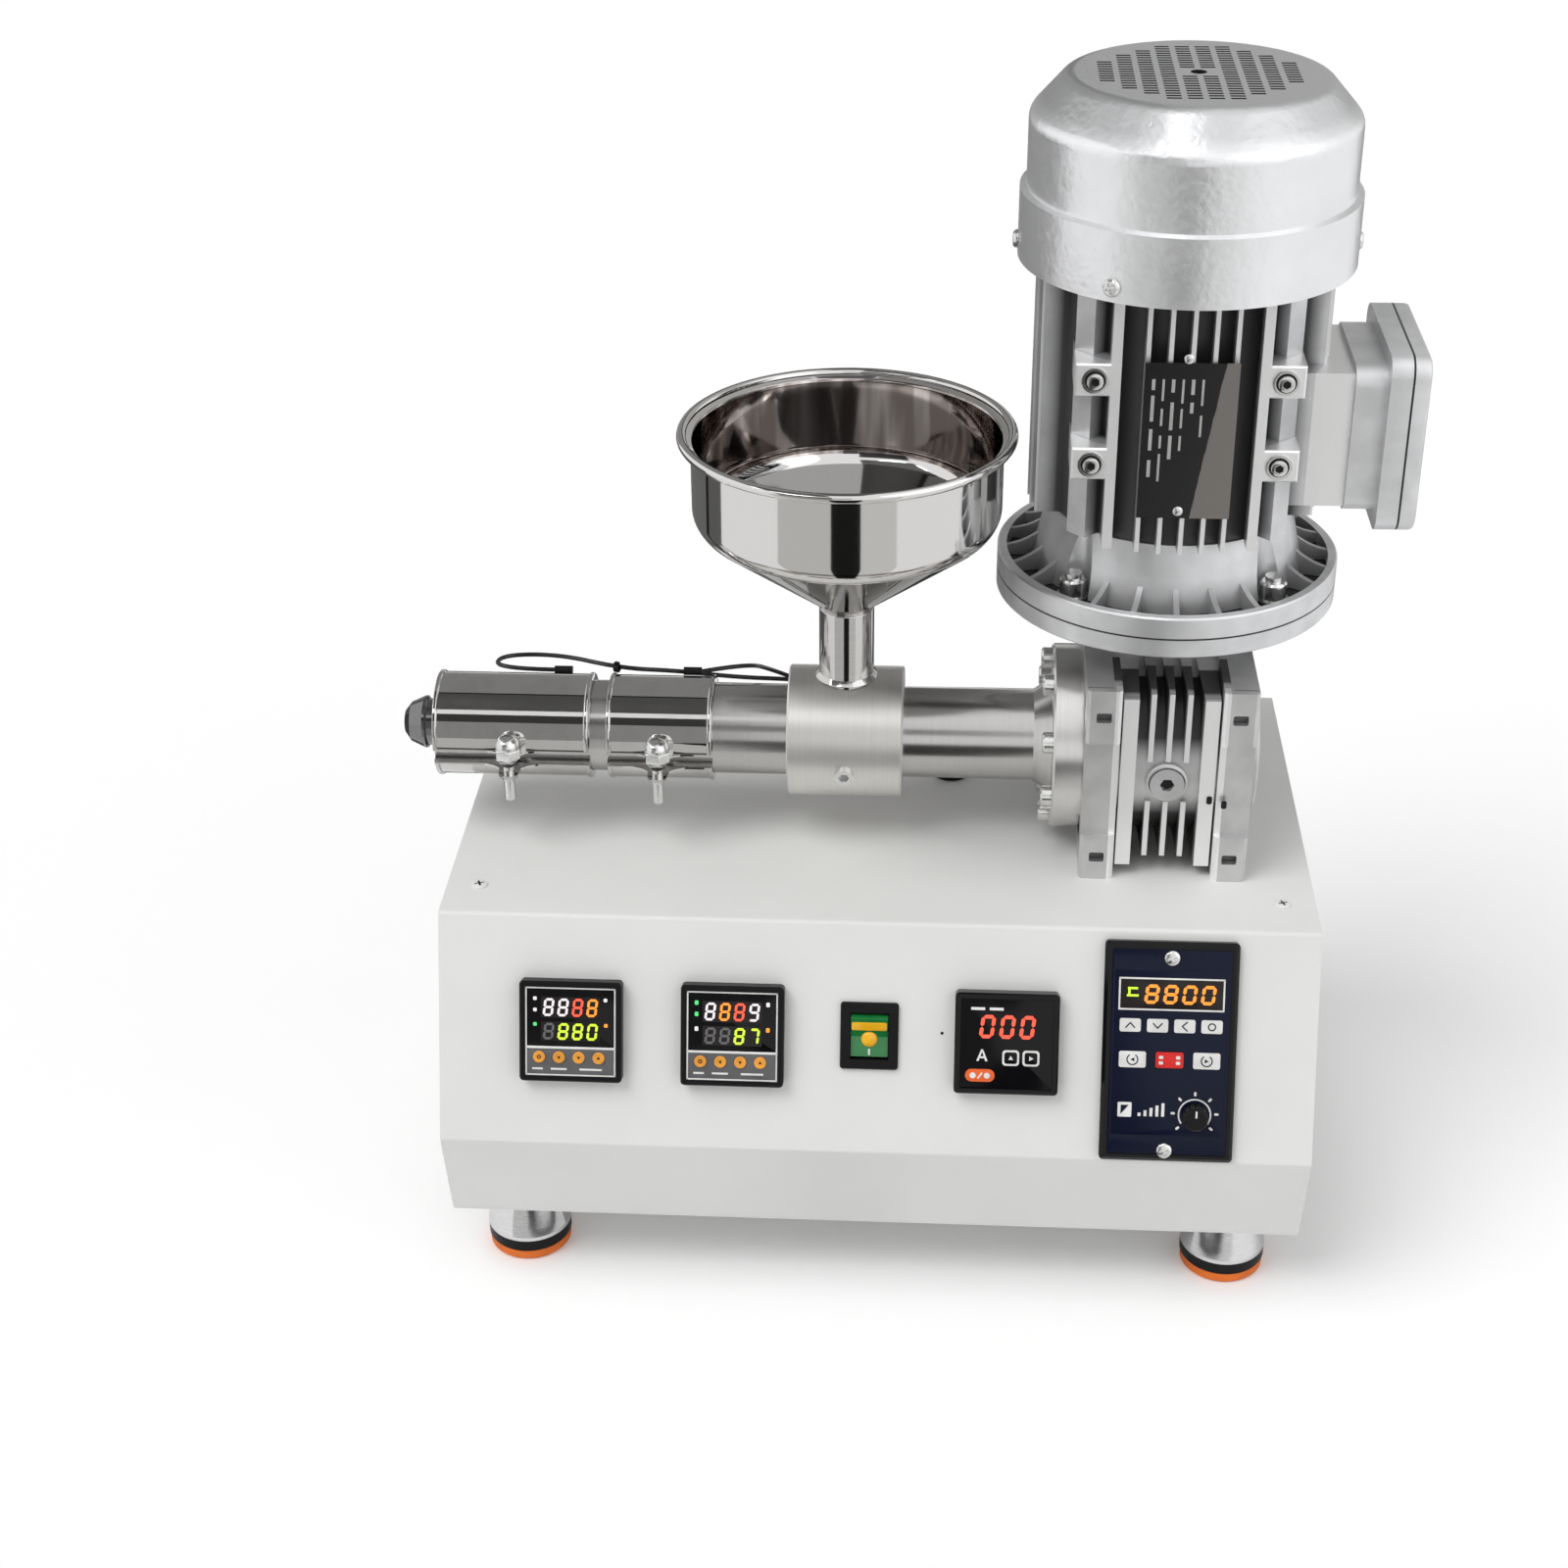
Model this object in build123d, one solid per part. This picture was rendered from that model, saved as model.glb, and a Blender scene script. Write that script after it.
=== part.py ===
from build123d import *
import os
from math import cos, hypot, radians, sin, sqrt, tan

# Filament extruder for the bench, in millimetres.
# While it is being built, X runs along the barrel from the middle of the cabinet,
# Y runs back from the top front fold and Z runs up from the floor.

# Cabinet
CAB_W = 408.0            # width
CAB_DEPTH = 230.0        # depth of the top
CAB_H = 156.0            # height of the sheet body
FOOT_H = 38.0            # height of the feet under it
PANEL_DROP = 103.0       # how far down the leaning panel reaches
PANEL_LEAN = 39.0        # how far forward it comes on the way
LIP_BACK = 14.5          # how far the lip under the panel goes back again
SHEET = 1.5              # sheet thickness
BEND_R = 2.5             # outer radius of the folds
SEAM = 0.3               # gap of a loose seam

# Feet
FOOT_INSET_X = 32.0      # from the cabinet's side to the foot's axis
FOOT_INSET_FRONT = 28.0  # from the lip's lower edge to the front foot's axis
FOOT_INSET_BACK = 32.0   # from the back to the rear foot's axis
FOOT_PAD_R = 20.0
FOOT_PAD_H = 5.5
FOOT_RING_H = 6.5
FOOT_RING_R = 20.5
FOOT_TOP_R = 13.0
FOOT_PAD_EDGE = 1.2
FOOT_RING_EDGE = 0.8
FOOT_CUFF_H = 2.0        # straight cuff at the cone's lower end
FOOT_NECK_H = 6.0        # flared neck at its upper end
FOOT_FLARE = 1.5

# Instruments on the leaning panel, each placed by its distance from the middle
# and by its distance down the slope from the top fold
METER_SIZE = 48.0        # square bezel of the two controllers and the current meter
METER_PROUD = 7.0
METER_BODY = 44.6        # body behind the bezel
METER_DEEP = 62.0
METER_RECESS = 0.8
METER_RIM = 2.6
METER_CORNER_R = 2.0
METER_EDGE = 0.8
METER_DOWN = 54.3
LEFT_CONTROLLER_X = -141.0
RIGHT_CONTROLLER_X = -65.5
CURRENT_METER_X = 61.5
CUTOUT_GAP = 0.2         # between an instrument's body and its cut-out

ROCKER_X = -2.0
ROCKER_DOWN = 53.6
ROCKER_FRAME_W = 27.0
ROCKER_FRAME_H = 31.8
ROCKER_FRAME_PROUD = 2.2
ROCKER_FRAME_R = 1.5
ROCKER_FRAME_EDGE = 0.7
ROCKER_LAND = 2.0        # frame beyond its body on each side
ROCKER_FLOOR = 2.0       # under the well
ROCKER_CROWN = 5.4       # rocker's ends over the pivot
ROCKER_SADDLE = 3.8      # its middle over the pivot
ROCKER_HEEL = 3.0        # its underside below the pivot
ROCKER_W = 17.2
ROCKER_R = 10.8          # from the pivot to the rocker's ends
ROCKER_PIVOT_DEEP = 3.4
ROCKER_TILT = 8.0        # how far it leans at rest
ROCKER_GAP = 0.35
ROCKER_PIN_R = 1.5
ROCKER_PIN_IN = 1.2      # how far each pin reaches into the frame
PIN_END = 0.2            # beyond a pin's end
PIN_RUN = 0.05           # radial running clearance of a pin

SPEED_X = 136.2
SPEED_DOWN = 56.8
SPEED_W = 61.4
SPEED_H = 104.0
SPEED_PROUD = 4.5
SPEED_BODY_W = 54.0
SPEED_BODY_H = 92.0
SPEED_BODY_DEEP = 66.0
SPEED_CORNER_R = 2.0
SPEED_BEVEL = 1.6
SPEED_RIM = 3.2
SPEED_RECESS = 0.6
KNOB_ASIDE = 12.6        # knob's place from the controller's centre, aside and down
KNOB_BELOW = 29.2
KNOB_R = 5.6
KNOB_H = 9.0
KNOB_EDGE = 0.9          # chamfer of the knob's top
KNOB_GAP = 0.4           # under the knob
KNOB_GRIPS = 12          # grooves round the knob
KNOB_GRIP_R = 0.5
KNOB_GRIP_FOOT = 1.5     # from the knob's underside up to the grooves
KNOB_SHAFT_R = 3.0
KNOB_SHAFT_DEEP = 8.0
KNOB_SHAFT_END = 0.5     # from the shaft's end to the hole's

# Worm gearbox, size 40, with its base to the front and its worm upright
GB_X = 133.4             # middle of the housing
GB_FRONT = 43.0          # from the top fold back to the base face
GB_W = 78.0
GB_H = 100.0
GB_BASE_TO_OUTPUT = 50.0
WORM_OFFSET = 40.0       # centre distance of the worm gear
GB_BACK = 31.5           # from the worm's axis to the back face
GB_RAIL_W = 16.0         # side frames, along X
GB_FRAME = 12.0          # side frames, from their outside in
GB_EDGE = 1.6            # chamfer of the frames' upright edges
GB_PAD_LOW_H = 24.0      # corner pads, lower and upper
GB_PAD_HIGH_H = 27.5
GB_RAIL_STEP = 2.6       # rails between the pads, set back from their faces
GB_POCKET_W = 7.0        # cored pockets in the pads
GB_POCKET_H = 5.0
GB_POCKET_R = 1.0
GB_POCKET_DEEP = 4.0
GB_BAR_W = 7.0           # bars beside the fins
GB_BAR_GAP = 1.0
GB_BAR_FOOT = 6.0        # from the top and bottom faces to the bars
GB_BAR_AHEAD = 2.0       # bars' front edges before those of the fins
GB_DRAFT = 1.6           # draft of bars and fins on each side
GB_SHELL = 4.0           # from the top and bottom faces to the webs
GB_WHEEL_R = 43.0        # round case of the worm wheel
GB_WORM_R = 26.0         # round case of the worm
GB_NECK_R = 37.0
GB_NECK_DEEP = 8.0       # how far the neck reaches into the housing
GB_FIN_T = 2.4
GB_FIN_PITCH = 8.3
GB_FIN_DEEP = 6.0        # from the base face back to the fins' front edges
GB_FIN_FOOT = 10.0       # from the bottom face up to the fins
GB_PLUG_ROOM = 2.5       # between the plug and the fins' ends
GB_PLUG_DEEP = 8.0       # from the wheel case's front back to the cut fins
GB_COVER_R = 36.0        # round cover on the side away from the barrel
GB_COVER_T = 4.0
GB_COVER_EDGE = 1.2
PLUG_R = 8.0
PLUG_T = 4.0
PLUG_KEY = 3.4           # hexagon recess, to its corners
PLUG_KEY_DEEP = 2.6

# Motor
FLANGE_R = 80.3
SEAM_ABOVE_OUTPUT = 72.0  # from the output axis up to the seam between the flanges
INPUT_FLANGE_T = 9.5
SHIELD_RIM_H = 10.5
SHIELD_RIM_T = 4.4
SHIELD_FLOOR_T = 4.5
SHIELD_HUB_R = 57.0
SHIELD_FOOT_R = 64.0
SHIELD_H = 36.0
SHIELD_EDGE = 0.8        # chamfer of the flanges' outer edges
SHIELD_RIBS = 24
RIB_T = 2.6
RIB_SUNK = 3.0           # how far the ribs stand in the hub
RIB_DIP = 1.0            # their outer ends, under and in the rim
RIB_RISE = 14.0          # their tops at the hub and half way, over the rim
RIB_HOLLOW = 4.0
STUD_PCR = 65.0          # radius of the circle of flange screws
NUT_R = 7.5              # their nuts' collars
NUT_ROOM = 0.8           # between the collars and the hub
NUT_COLLAR_T = 2.0
NUT_BODY_R = 6.2
NUT_EDGE = 0.9
NUT_H = 10.4
STUD_R = 4.0
STUD_H = 13.0
SPOT_DEEP = 0.5          # spot faces under the nuts
MOTOR_LEN = 128.0        # finned housing
CORE_R = 56.0
FIN_R = 67.0
FIN_T = 2.0
FIN_DRAFT = 0.9          # how much wider each side of a fin is at its foot
FIN_PITCH = 9.6
FINS_EACH_SIDE = 2       # fins at each side of the middle one, on all four faces
TIE_W = 11.0             # ribs over the tie bolts, at 45 degrees
TIE_R = 65.0
PAD_OUT = 40.2           # foot pads, from the motor's axis
PAD_FACE = 61.0
PAD_W = 20.0
PAD_H = 15.0
PAD_EDGE = 0.8
PAD_RAIL_T = 4.5
PAD_HIGH = 80.5          # heights above the housing's lower end
PAD_LOW = 41.0

# Fan cover
COVER_SHEET = 1.6
SKIRT_R = 75.8
SKIRT_H = 31.0
DRUM_R = 72.9
DRUM_H = 33.0
SHOULDER_H = 17.5
CROWN_R = 57.3
COVER_BEND_R = 8.0       # outside radius of its pressed corners
COVER_STEP = 1.0         # height of the step over the skirt
COVER_OVERLAP = 10.0     # how far the skirt comes down over the fins
LUG_W = 12.0             # lugs that the cover is screwed to
LUG_H = 9.0
LUG_TURNS = (-119, 61, -179, 1)
SLOT_L = 6.4
SLOT_W = 2.1
SLOT_PITCH_X = 8.95
SLOT_PITCH_Y = 3.9
SLOT_FIELD_R = 47.0
EYE_R = 3.6
EYE_ROOM = 4.0           # between the eye and the middles of the slots round it
FAN_R = 60.0
FAN_HUB_R = 18.0
FAN_H = 26.0
FAN_PLATE_T = 3.0
FAN_PLATE_R = 54.0
FAN_BLADE_T = 2.4
FAN_BLADES = 7
SHAFT_R = 8.0
SHAFT_L = 8.0            # bare shaft between the housing and the fan

# Terminal box on the motor's right
BOX_SIZE = 84.0          # flange and lid, square
BOX_BODY = 70.0
BOX_FACE = 100.0         # from the motor's axis to the seam under the lid
BOX_FLANGE_T = 10.0
BOX_LID_T = 8.0
BOX_LID_EDGE = 2.5
BOX_CENTRE_ABOVE = 42.0  # above the housing's lower end
BOX_CORNER_R = 9.0
BOX_BODY_L = 14.0        # body between the housing's seat and the flange
SEAT_SMALLER = 3.0       # the seat, drawn in from the body on each side

# Nameplate
PLATE_W = 41.0
PLATE_H = 73.0
PLATE_T = 0.8
PLATE_ABOVE = 55.0

# Barrel
BARREL_R = 21.9
SCREW_R = 10.0
SCREW_RUN = 0.15         # screw to bore
SCREW_ROOT_R = 6.4
SCREW_PITCH = 20.0
SCREW_TURNS = 11         # turns of its flight, from the die to the feed throat
SCREW_NOSE_L = 5.0       # cone at its end
SCREW_NOSE_R = 2.0
SCREW_SHORT = 4.0        # from the screw's end to the barrel's
FLIGHT_T = 2.6
FLIGHT_SUNK = 0.4        # how far the flight stands in the root
BARREL_FLANGE_R = 44.0
BARREL_FLANGE_T = 14.0
BARREL_FLANGE_EDGE = 1.0
BARREL_BOLTS = 8
BARREL_BOLT_PCR = 37.0
BARREL_BOLT_R = 5.0
BARREL_BOLT_H = 5.0
BOLT_EDGE = 0.8
WELD_R = 6.0
WELD_L = 8.4
BLOCK_X = -17.5          # middle of the feed block, under the hopper
BLOCK_L = 55.0
BLOCK_R = 31.5
BLOCK_EDGE = 0.8
BAND_R = 24.8
BAND_LIP = 0.7           # rolled lips at the bands' ends
BAND_LIP_W = 1.8
BAND_FIT = 0.1
BAND_1_L = 75.0
BAND_2_L = 50.5
BAND_GAP = 8.6
TUBE_L = 36.0            # bare tube between the second band and the block
BAND_SPLIT = 9.0         # gap between the lips
BAND_SPLIT_BELOW = 8.0   # middle of the split below the barrel's axis
EAR_L = 24.0
EAR_OUT = 13.0
CLAMP_OUT = 7.2          # from the band to the clamp screw's axis
EAR_T = 1.8
CLAMP_R = 2.7
CLAMP_RUN = 0.15         # clamp screw to the ears' holes
CLAMP_HEAD_R = 6.5
CLAMP_HEAD_H = 11.5
CLAMP_HEAD_DOME = 3.0
CLAMP_TAIL = 13.0
NECK_R = 11.3
NECK_L = 5.6
DIE_R = 12.7
DIE_L = 11.6
DIE_RIM = 1.2            # straight rim of the die
DIE_EDGE = 0.8
DIE_FACE_R = 5.7         # flat face with the holes
DIE_ROUND = 3.0
DIE_CHAMBER_R = 8.0      # conical way for the melt
DIE_CHAMBER_END_R = 5.0
DIE_CHAMBER_DEEP = 12.0
DIE_HOLES = 8
DIE_HOLE_R = 0.9
DIE_HOLE_PCR = 3.8
DIE_HOLE_DEEP = 6.0
SET_SCREW_R = 4.6
SET_SCREW_OUT = 2.5
SET_SCREW_L = 12.0
SET_SCREW_DEEP = 14.0    # its hole in the block
SET_SCREW_KEY = 2.6
SET_SCREW_ASIDE = 13.6   # degrees below the horizontal

# Hopper
BOWL_R = 71.4
BOWL_WALL = 1.2
RIM_R = 2.3
RIM_OUT = 75.3           # radius of the rolled rim's centre line
RIM_Z = 398.0            # height of the rim's centre line
BOWL_BOTTOM_Z = 357.0
BOWL_CORNER = 6.0        # inside radius between bowl and cone
BOWL_LIP = 6.0           # height of the flare under the rim
RIM_OVERLAP = 1.4        # how far the skin reaches into the rolled rim
CONE_TAPER = 0.76        # drop of the cone for each millimetre inward
SPOUT_R = 13.0
SPOUT_WALL = 1.6
SPOUT_FIT = 0.05         # spout to block
NECK_FIT = 0.2
HOPPER_NECK_L = 16.0
SPOUT_SEAT = 8.0         # how deep the spout goes into the block

# Heater leads, from a gland on each band to a grommet in the cabinet's top
LEAD_R = 1.1
BEND_SHARE = 0.45        # of the shorter run that a bend takes up
BEND_MOST = 3.0          # largest bend radius, in shorter runs
LEAD_1 = [(-161, 110.4, 264.7), (-190, 110.4, 264.7), (-190, 125.3, 264.5), (-161, 125.5, 265.5),
          (-128, 109, 266.9), (-100, 114, 263.5), (-72, 119, 258), (-42, 129.5, 252), (-4, 134, 246),
          (25, 140, 235), (36, 142, 215), (36, 142, 196.5)]
LEAD_2 = [(-88, 106.5, 267.4), (-66, 107.5, 271.5), (-57, 131, 257), (-30, 134, 244), (4, 138, 234),
          (26, 141, 223), (31, 142, 208), (31, 142, 196.5)]
GLAND_R = 2.0
GLAND_L = 9.0
GLAND_GAP = 0.3          # between a gland and its lead's end
GROMMET_X = 33.5
GROMMET_Y = 142.0
GROMMET_R = 7.0
GROMMET_FIT = 0.2
GROMMET_DEEP = 3.5       # below the cabinet's top
GROMMET_LIP = 2.0
GROMMET_H = 2.5          # above the cabinet's top

# Screws on top of the cabinet
TOP_SCREW_R = 4.5
TOP_SCREW_H = 1.4
TOP_SCREW_IN = 16.0      # from the cabinet's sides
TOP_SCREW_BACK = 24.5    # from the front fold and from the back

# Places worked out from the sizes
CAB_TOP = FOOT_H + CAB_H
SLOPE = hypot(PANEL_DROP, PANEL_LEAN)
LIP_FRONT = -PANEL_LEAN + LIP_BACK
GB_LEFT = GB_X - GB_W / 2
GB_RIGHT = GB_X + GB_W / 2
OUT_Y = GB_FRONT + GB_BASE_TO_OUTPUT
OUT_Z = CAB_TOP + GB_H / 2
WORM_Y = OUT_Y + WORM_OFFSET
GB_DEPTH = GB_BASE_TO_OUTPUT + WORM_OFFSET + GB_BACK
SEAM_Z = OUT_Z + SEAM_ABOVE_OUTPUT
HOUSING_Z = SEAM_Z + SHIELD_H
HOUSING_TOP = HOUSING_Z + MOTOR_LEN
COVER_Z = HOUSING_TOP - COVER_OVERLAP
FLANGE_FACE = GB_LEFT - BARREL_FLANGE_T
BLOCK_LEFT = BLOCK_X - BLOCK_L / 2
BLOCK_RIGHT = BLOCK_X + BLOCK_L / 2
BAND_2_RIGHT = BLOCK_LEFT - TUBE_L
BAND_2_LEFT = BAND_2_RIGHT - BAND_2_L
BAND_1_RIGHT = BAND_2_LEFT - BAND_GAP
BAND_1_LEFT = BAND_1_RIGHT - BAND_1_L
NOZZLE_TIP = BAND_1_LEFT - NECK_L - DIE_L
LID_FACE = GB_X + BOX_FACE + BOX_LID_T
BORE_R = SCREW_R + SCREW_RUN

knob_down = SPEED_DOWN + KNOB_BELOW + KNOB_R - KNOB_EDGE
knob_out = SPEED_PROUD - SPEED_RECESS + KNOB_GAP + KNOB_H
FRONT = -(knob_down * PANEL_LEAN + knob_out * PANEL_DROP) / SLOPE

# The finished model's zero is on the floor under the middle of its outline
MOVE = Pos(-(NOZZLE_TIP + LID_FACE) / 2, -(CAB_DEPTH + FRONT) / 2, 0)

# Plane of the leaning panel: x to the right, y up the slope, z out of the panel
PANEL = Plane(origin=(0, 0, CAB_TOP), x_dir=(1, 0, 0), z_dir=(0, -PANEL_DROP, PANEL_LEAN))

os.makedirs("parts", exist_ok=True)


def save(name, shape):
    """Write one node as a STEP file in the finished model's frame."""
    if isinstance(shape, (list, ShapeList)):
        shape = Compound(children=list(shape))
    export_step(MOVE * shape, f"parts/{name}.step")


def on_panel(x, down, out=0.0):
    """Place on the leaning panel, out along its normal."""
    return PANEL.location * Pos(x, -down, out)


def block(x0, x1, y0, y1, z0, z1):
    """Box between two corners."""
    return Pos((x0 + x1) / 2, (y0 + y1) / 2, (z0 + z1) / 2) * Box(x1 - x0, y1 - y0, z1 - z0)


def upright(radius, z0, z1, x, y):
    """Upright cylinder between two heights."""
    return Pos(x, y, (z0 + z1) / 2) * Cylinder(radius, z1 - z0)


def along_x(radius, x0, x1, y=OUT_Y, z=OUT_Z):
    """Cylinder lying along X, on the barrel's axis unless told otherwise."""
    return Pos((x0 + x1) / 2, y, z) * Rot(0, 90, 0) * Cylinder(radius, x1 - x0)


def turned(points, x=0.0, y=0.0, z=0.0, bends=()):
    """Solid turned about an upright axis from (radius, height) points, with chosen corners rounded."""
    outline = make_face(Polyline(*points, close=True))
    for corner, radius in bends:
        outline = fillet(outline.vertices().sort_by_distance((*corner, 0))[:1], radius)
    return Pos(x, y, z) * revolve(Plane.XZ * outline, Axis.Z)


def framed(width, height, proud, corner_r, edge):
    """Front frame of an instrument, standing proud of the panel, with its outer edge chamfered."""
    frame = Pos(0, 0, proud / 2) * Box(width, height, proud)
    frame = fillet(frame.edges().filter_by(Axis.Z), corner_r)
    return chamfer(frame.faces().sort_by(Axis.Z)[-1].edges(), edge)


# Cabinet shell, folded from one sheet: back edge, top, leaning panel and lip
def side_outline(inset):
    """Outline of the cabinet seen from its side, drawn in by an inset."""
    corners = [(CAB_DEPTH, FOOT_H), (CAB_DEPTH, CAB_TOP), (0, CAB_TOP),
               (-PANEL_LEAN, CAB_TOP - PANEL_DROP), (LIP_FRONT, FOOT_H)]
    outline = make_face(Polyline(*corners, close=True))
    return offset(outline, -inset, kind=Kind.INTERSECTION) if inset else outline


def side_prism(inset, x0, x1, radius):
    """The outline with rounded folds, drawn out between two places along X."""
    outline = side_outline(inset)
    folds = outline.vertices().filter_by(lambda v: v.X < CAB_DEPTH - BEND_R and v.Y > FOOT_H + BEND_R)
    outline = fillet(folds, radius)
    return extrude(Plane((x0, 0, 0), x_dir=(0, 1, 0), z_dir=(1, 0, 0)) * outline, x1 - x0)


half = CAB_W / 2
shell = side_prism(0, -half, half, BEND_R) - side_prism(SHEET, -half, half, BEND_R - SHEET)
shell -= block(-half, half, LIP_FRONT - SHEET, CAB_DEPTH, FOOT_H - SHEET, FOOT_H + SHEET)
shell -= block(-half, half, CAB_DEPTH - SHEET, CAB_DEPTH + SHEET, FOOT_H - SHEET, CAB_TOP - SHEET)


def cutout(x, down, width, height):
    """Cut-out through the panel's sheet, square to it."""
    return on_panel(x, down, -SHEET) * Box(width + 2 * CUTOUT_GAP, height + 2 * CUTOUT_GAP, 4 * SHEET)


for x in (LEFT_CONTROLLER_X, RIGHT_CONTROLLER_X, CURRENT_METER_X):
    shell -= cutout(x, METER_DOWN, METER_BODY, METER_BODY)
rocker_body_w = ROCKER_FRAME_W - 2 * ROCKER_LAND
rocker_body_h = ROCKER_FRAME_H - 2 * ROCKER_LAND
shell -= cutout(ROCKER_X, ROCKER_DOWN, rocker_body_w, rocker_body_h)
shell -= cutout(SPEED_X, SPEED_DOWN, SPEED_BODY_W, SPEED_BODY_H)
shell -= upright(GROMMET_R, CAB_TOP - 2 * SHEET, CAB_TOP + SHEET, GROMMET_X, GROMMET_Y)
save("cabinet_cover", shell)

for name, x0 in (("cabinet_left_side", -half), ("cabinet_right_side", half - SHEET)):
    save(name, side_prism(SHEET + SEAM, x0, x0 + SHEET, BEND_R - SHEET))
save("cabinet_base", block(-half, half, LIP_FRONT, CAB_DEPTH, FOOT_H, FOOT_H + SHEET))
back_w = half - SHEET - SEAM
save("cabinet_back", block(-back_w, back_w, CAB_DEPTH - SHEET, CAB_DEPTH, FOOT_H + SHEET, CAB_TOP - SHEET))

# Feet: chrome cone, dark ring and soft pad
foot_x = half - FOOT_INSET_X
foot_front = LIP_FRONT + FOOT_INSET_FRONT
foot_back = CAB_DEPTH - FOOT_INSET_BACK
foot_places = [Pos(x, y, 0) for x in (-foot_x, foot_x) for y in (foot_front, foot_back)]
ring_top = FOOT_PAD_H + FOOT_RING_H
cone = turned([(0, ring_top), (FOOT_RING_R, ring_top), (FOOT_RING_R, ring_top + FOOT_CUFF_H),
               (FOOT_TOP_R + FOOT_FLARE, FOOT_H - FOOT_NECK_H), (FOOT_TOP_R, FOOT_H), (0, FOOT_H)])
ring = turned([(0, FOOT_PAD_H), (FOOT_RING_R - FOOT_RING_EDGE, FOOT_PAD_H),
               (FOOT_RING_R, FOOT_PAD_H + FOOT_RING_EDGE), (FOOT_RING_R, ring_top), (0, ring_top)])
pad = turned([(0, 0), (FOOT_PAD_R - FOOT_PAD_EDGE, 0), (FOOT_PAD_R, FOOT_PAD_EDGE),
              (FOOT_PAD_R, FOOT_PAD_H), (0, FOOT_PAD_H)])
save("foot_cones", [place * cone for place in foot_places])
save("foot_rings", [place * ring for place in foot_places])
save("foot_pads", [place * pad for place in foot_places])


# Panel instruments
def meter(x):
    """Square instrument: bezel with a sunk face, and its body through the panel."""
    bezel = framed(METER_SIZE, METER_SIZE, METER_PROUD, METER_CORNER_R, METER_EDGE)
    face = METER_SIZE - 2 * METER_RIM
    bezel -= Pos(0, 0, METER_PROUD) * Box(face, face, 2 * METER_RECESS)
    body = Pos(0, 0, -METER_DEEP / 2) * Box(METER_BODY, METER_BODY, METER_DEEP)
    return on_panel(x, METER_DOWN) * (bezel + body)


save("left_controller", meter(LEFT_CONTROLLER_X))
save("right_controller", meter(RIGHT_CONTROLLER_X))
save("current_meter", meter(CURRENT_METER_X))

# Rocker switch: frame with a well, and the rocker on its two pins
well_deep = ROCKER_PIVOT_DEEP + ROCKER_R + ROCKER_GAP
well_w = ROCKER_W + 2 * ROCKER_GAP
well_h = 2 * (ROCKER_R + ROCKER_GAP)
body_deep = well_deep + ROCKER_FLOOR
pins_l = well_w + 2 * ROCKER_PIN_IN
rocker_frame = framed(ROCKER_FRAME_W, ROCKER_FRAME_H, ROCKER_FRAME_PROUD, ROCKER_FRAME_R, ROCKER_FRAME_EDGE)
rocker_frame += Pos(0, 0, -body_deep / 2) * Box(rocker_body_w, rocker_body_h, body_deep)
well_l = ROCKER_FRAME_PROUD + well_deep
rocker_frame -= Pos(0, 0, (ROCKER_FRAME_PROUD - well_deep) / 2) * Box(well_w, well_h, well_l)
pin_way = Rot(0, 90, 0) * Cylinder(ROCKER_PIN_R + PIN_RUN, pins_l + 2 * PIN_END)
rocker_frame -= Pos(0, 0, -ROCKER_PIVOT_DEEP) * pin_way
save("rocker_frame", on_panel(ROCKER_X, ROCKER_DOWN) * rocker_frame)

crown_end = sqrt(ROCKER_R ** 2 - ROCKER_CROWN ** 2)
heel_end = sqrt(ROCKER_R ** 2 - ROCKER_HEEL ** 2)
rocker_side = make_face(
    ThreePointArc((heel_end, -ROCKER_HEEL), (ROCKER_R, 0), (crown_end, ROCKER_CROWN))
    + Line((crown_end, ROCKER_CROWN), (0, ROCKER_SADDLE))
    + Line((0, ROCKER_SADDLE), (-crown_end, ROCKER_CROWN))
    + ThreePointArc((-crown_end, ROCKER_CROWN), (-ROCKER_R, 0), (-heel_end, -ROCKER_HEEL))
    + Line((-heel_end, -ROCKER_HEEL), (heel_end, -ROCKER_HEEL)))
rocker = extrude(Plane.YZ * rocker_side, ROCKER_W / 2, both=True)
rocker += Rot(0, 90, 0) * Cylinder(ROCKER_PIN_R, pins_l)
save("rocker", on_panel(ROCKER_X, ROCKER_DOWN, -ROCKER_PIVOT_DEEP) * Rot(ROCKER_TILT, 0, 0) * rocker)

# Speed controller: bevelled frame with a sunk face, and its knob
controller = framed(SPEED_W, SPEED_H, SPEED_PROUD, SPEED_CORNER_R, SPEED_BEVEL)
sunk_face = Box(SPEED_W - 2 * SPEED_RIM, SPEED_H - 2 * SPEED_RIM, 2 * SPEED_RECESS)
controller -= Pos(0, 0, SPEED_PROUD) * sunk_face
controller += Pos(0, 0, -SPEED_BODY_DEEP / 2) * Box(SPEED_BODY_W, SPEED_BODY_H, SPEED_BODY_DEEP)
face_out = SPEED_PROUD - SPEED_RECESS
controller -= Pos(KNOB_ASIDE, -KNOB_BELOW, face_out - KNOB_SHAFT_DEEP / 2) * Cylinder(
    KNOB_SHAFT_R + PIN_RUN, KNOB_SHAFT_DEEP)
save("speed_controller", on_panel(SPEED_X, SPEED_DOWN) * controller)

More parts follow.
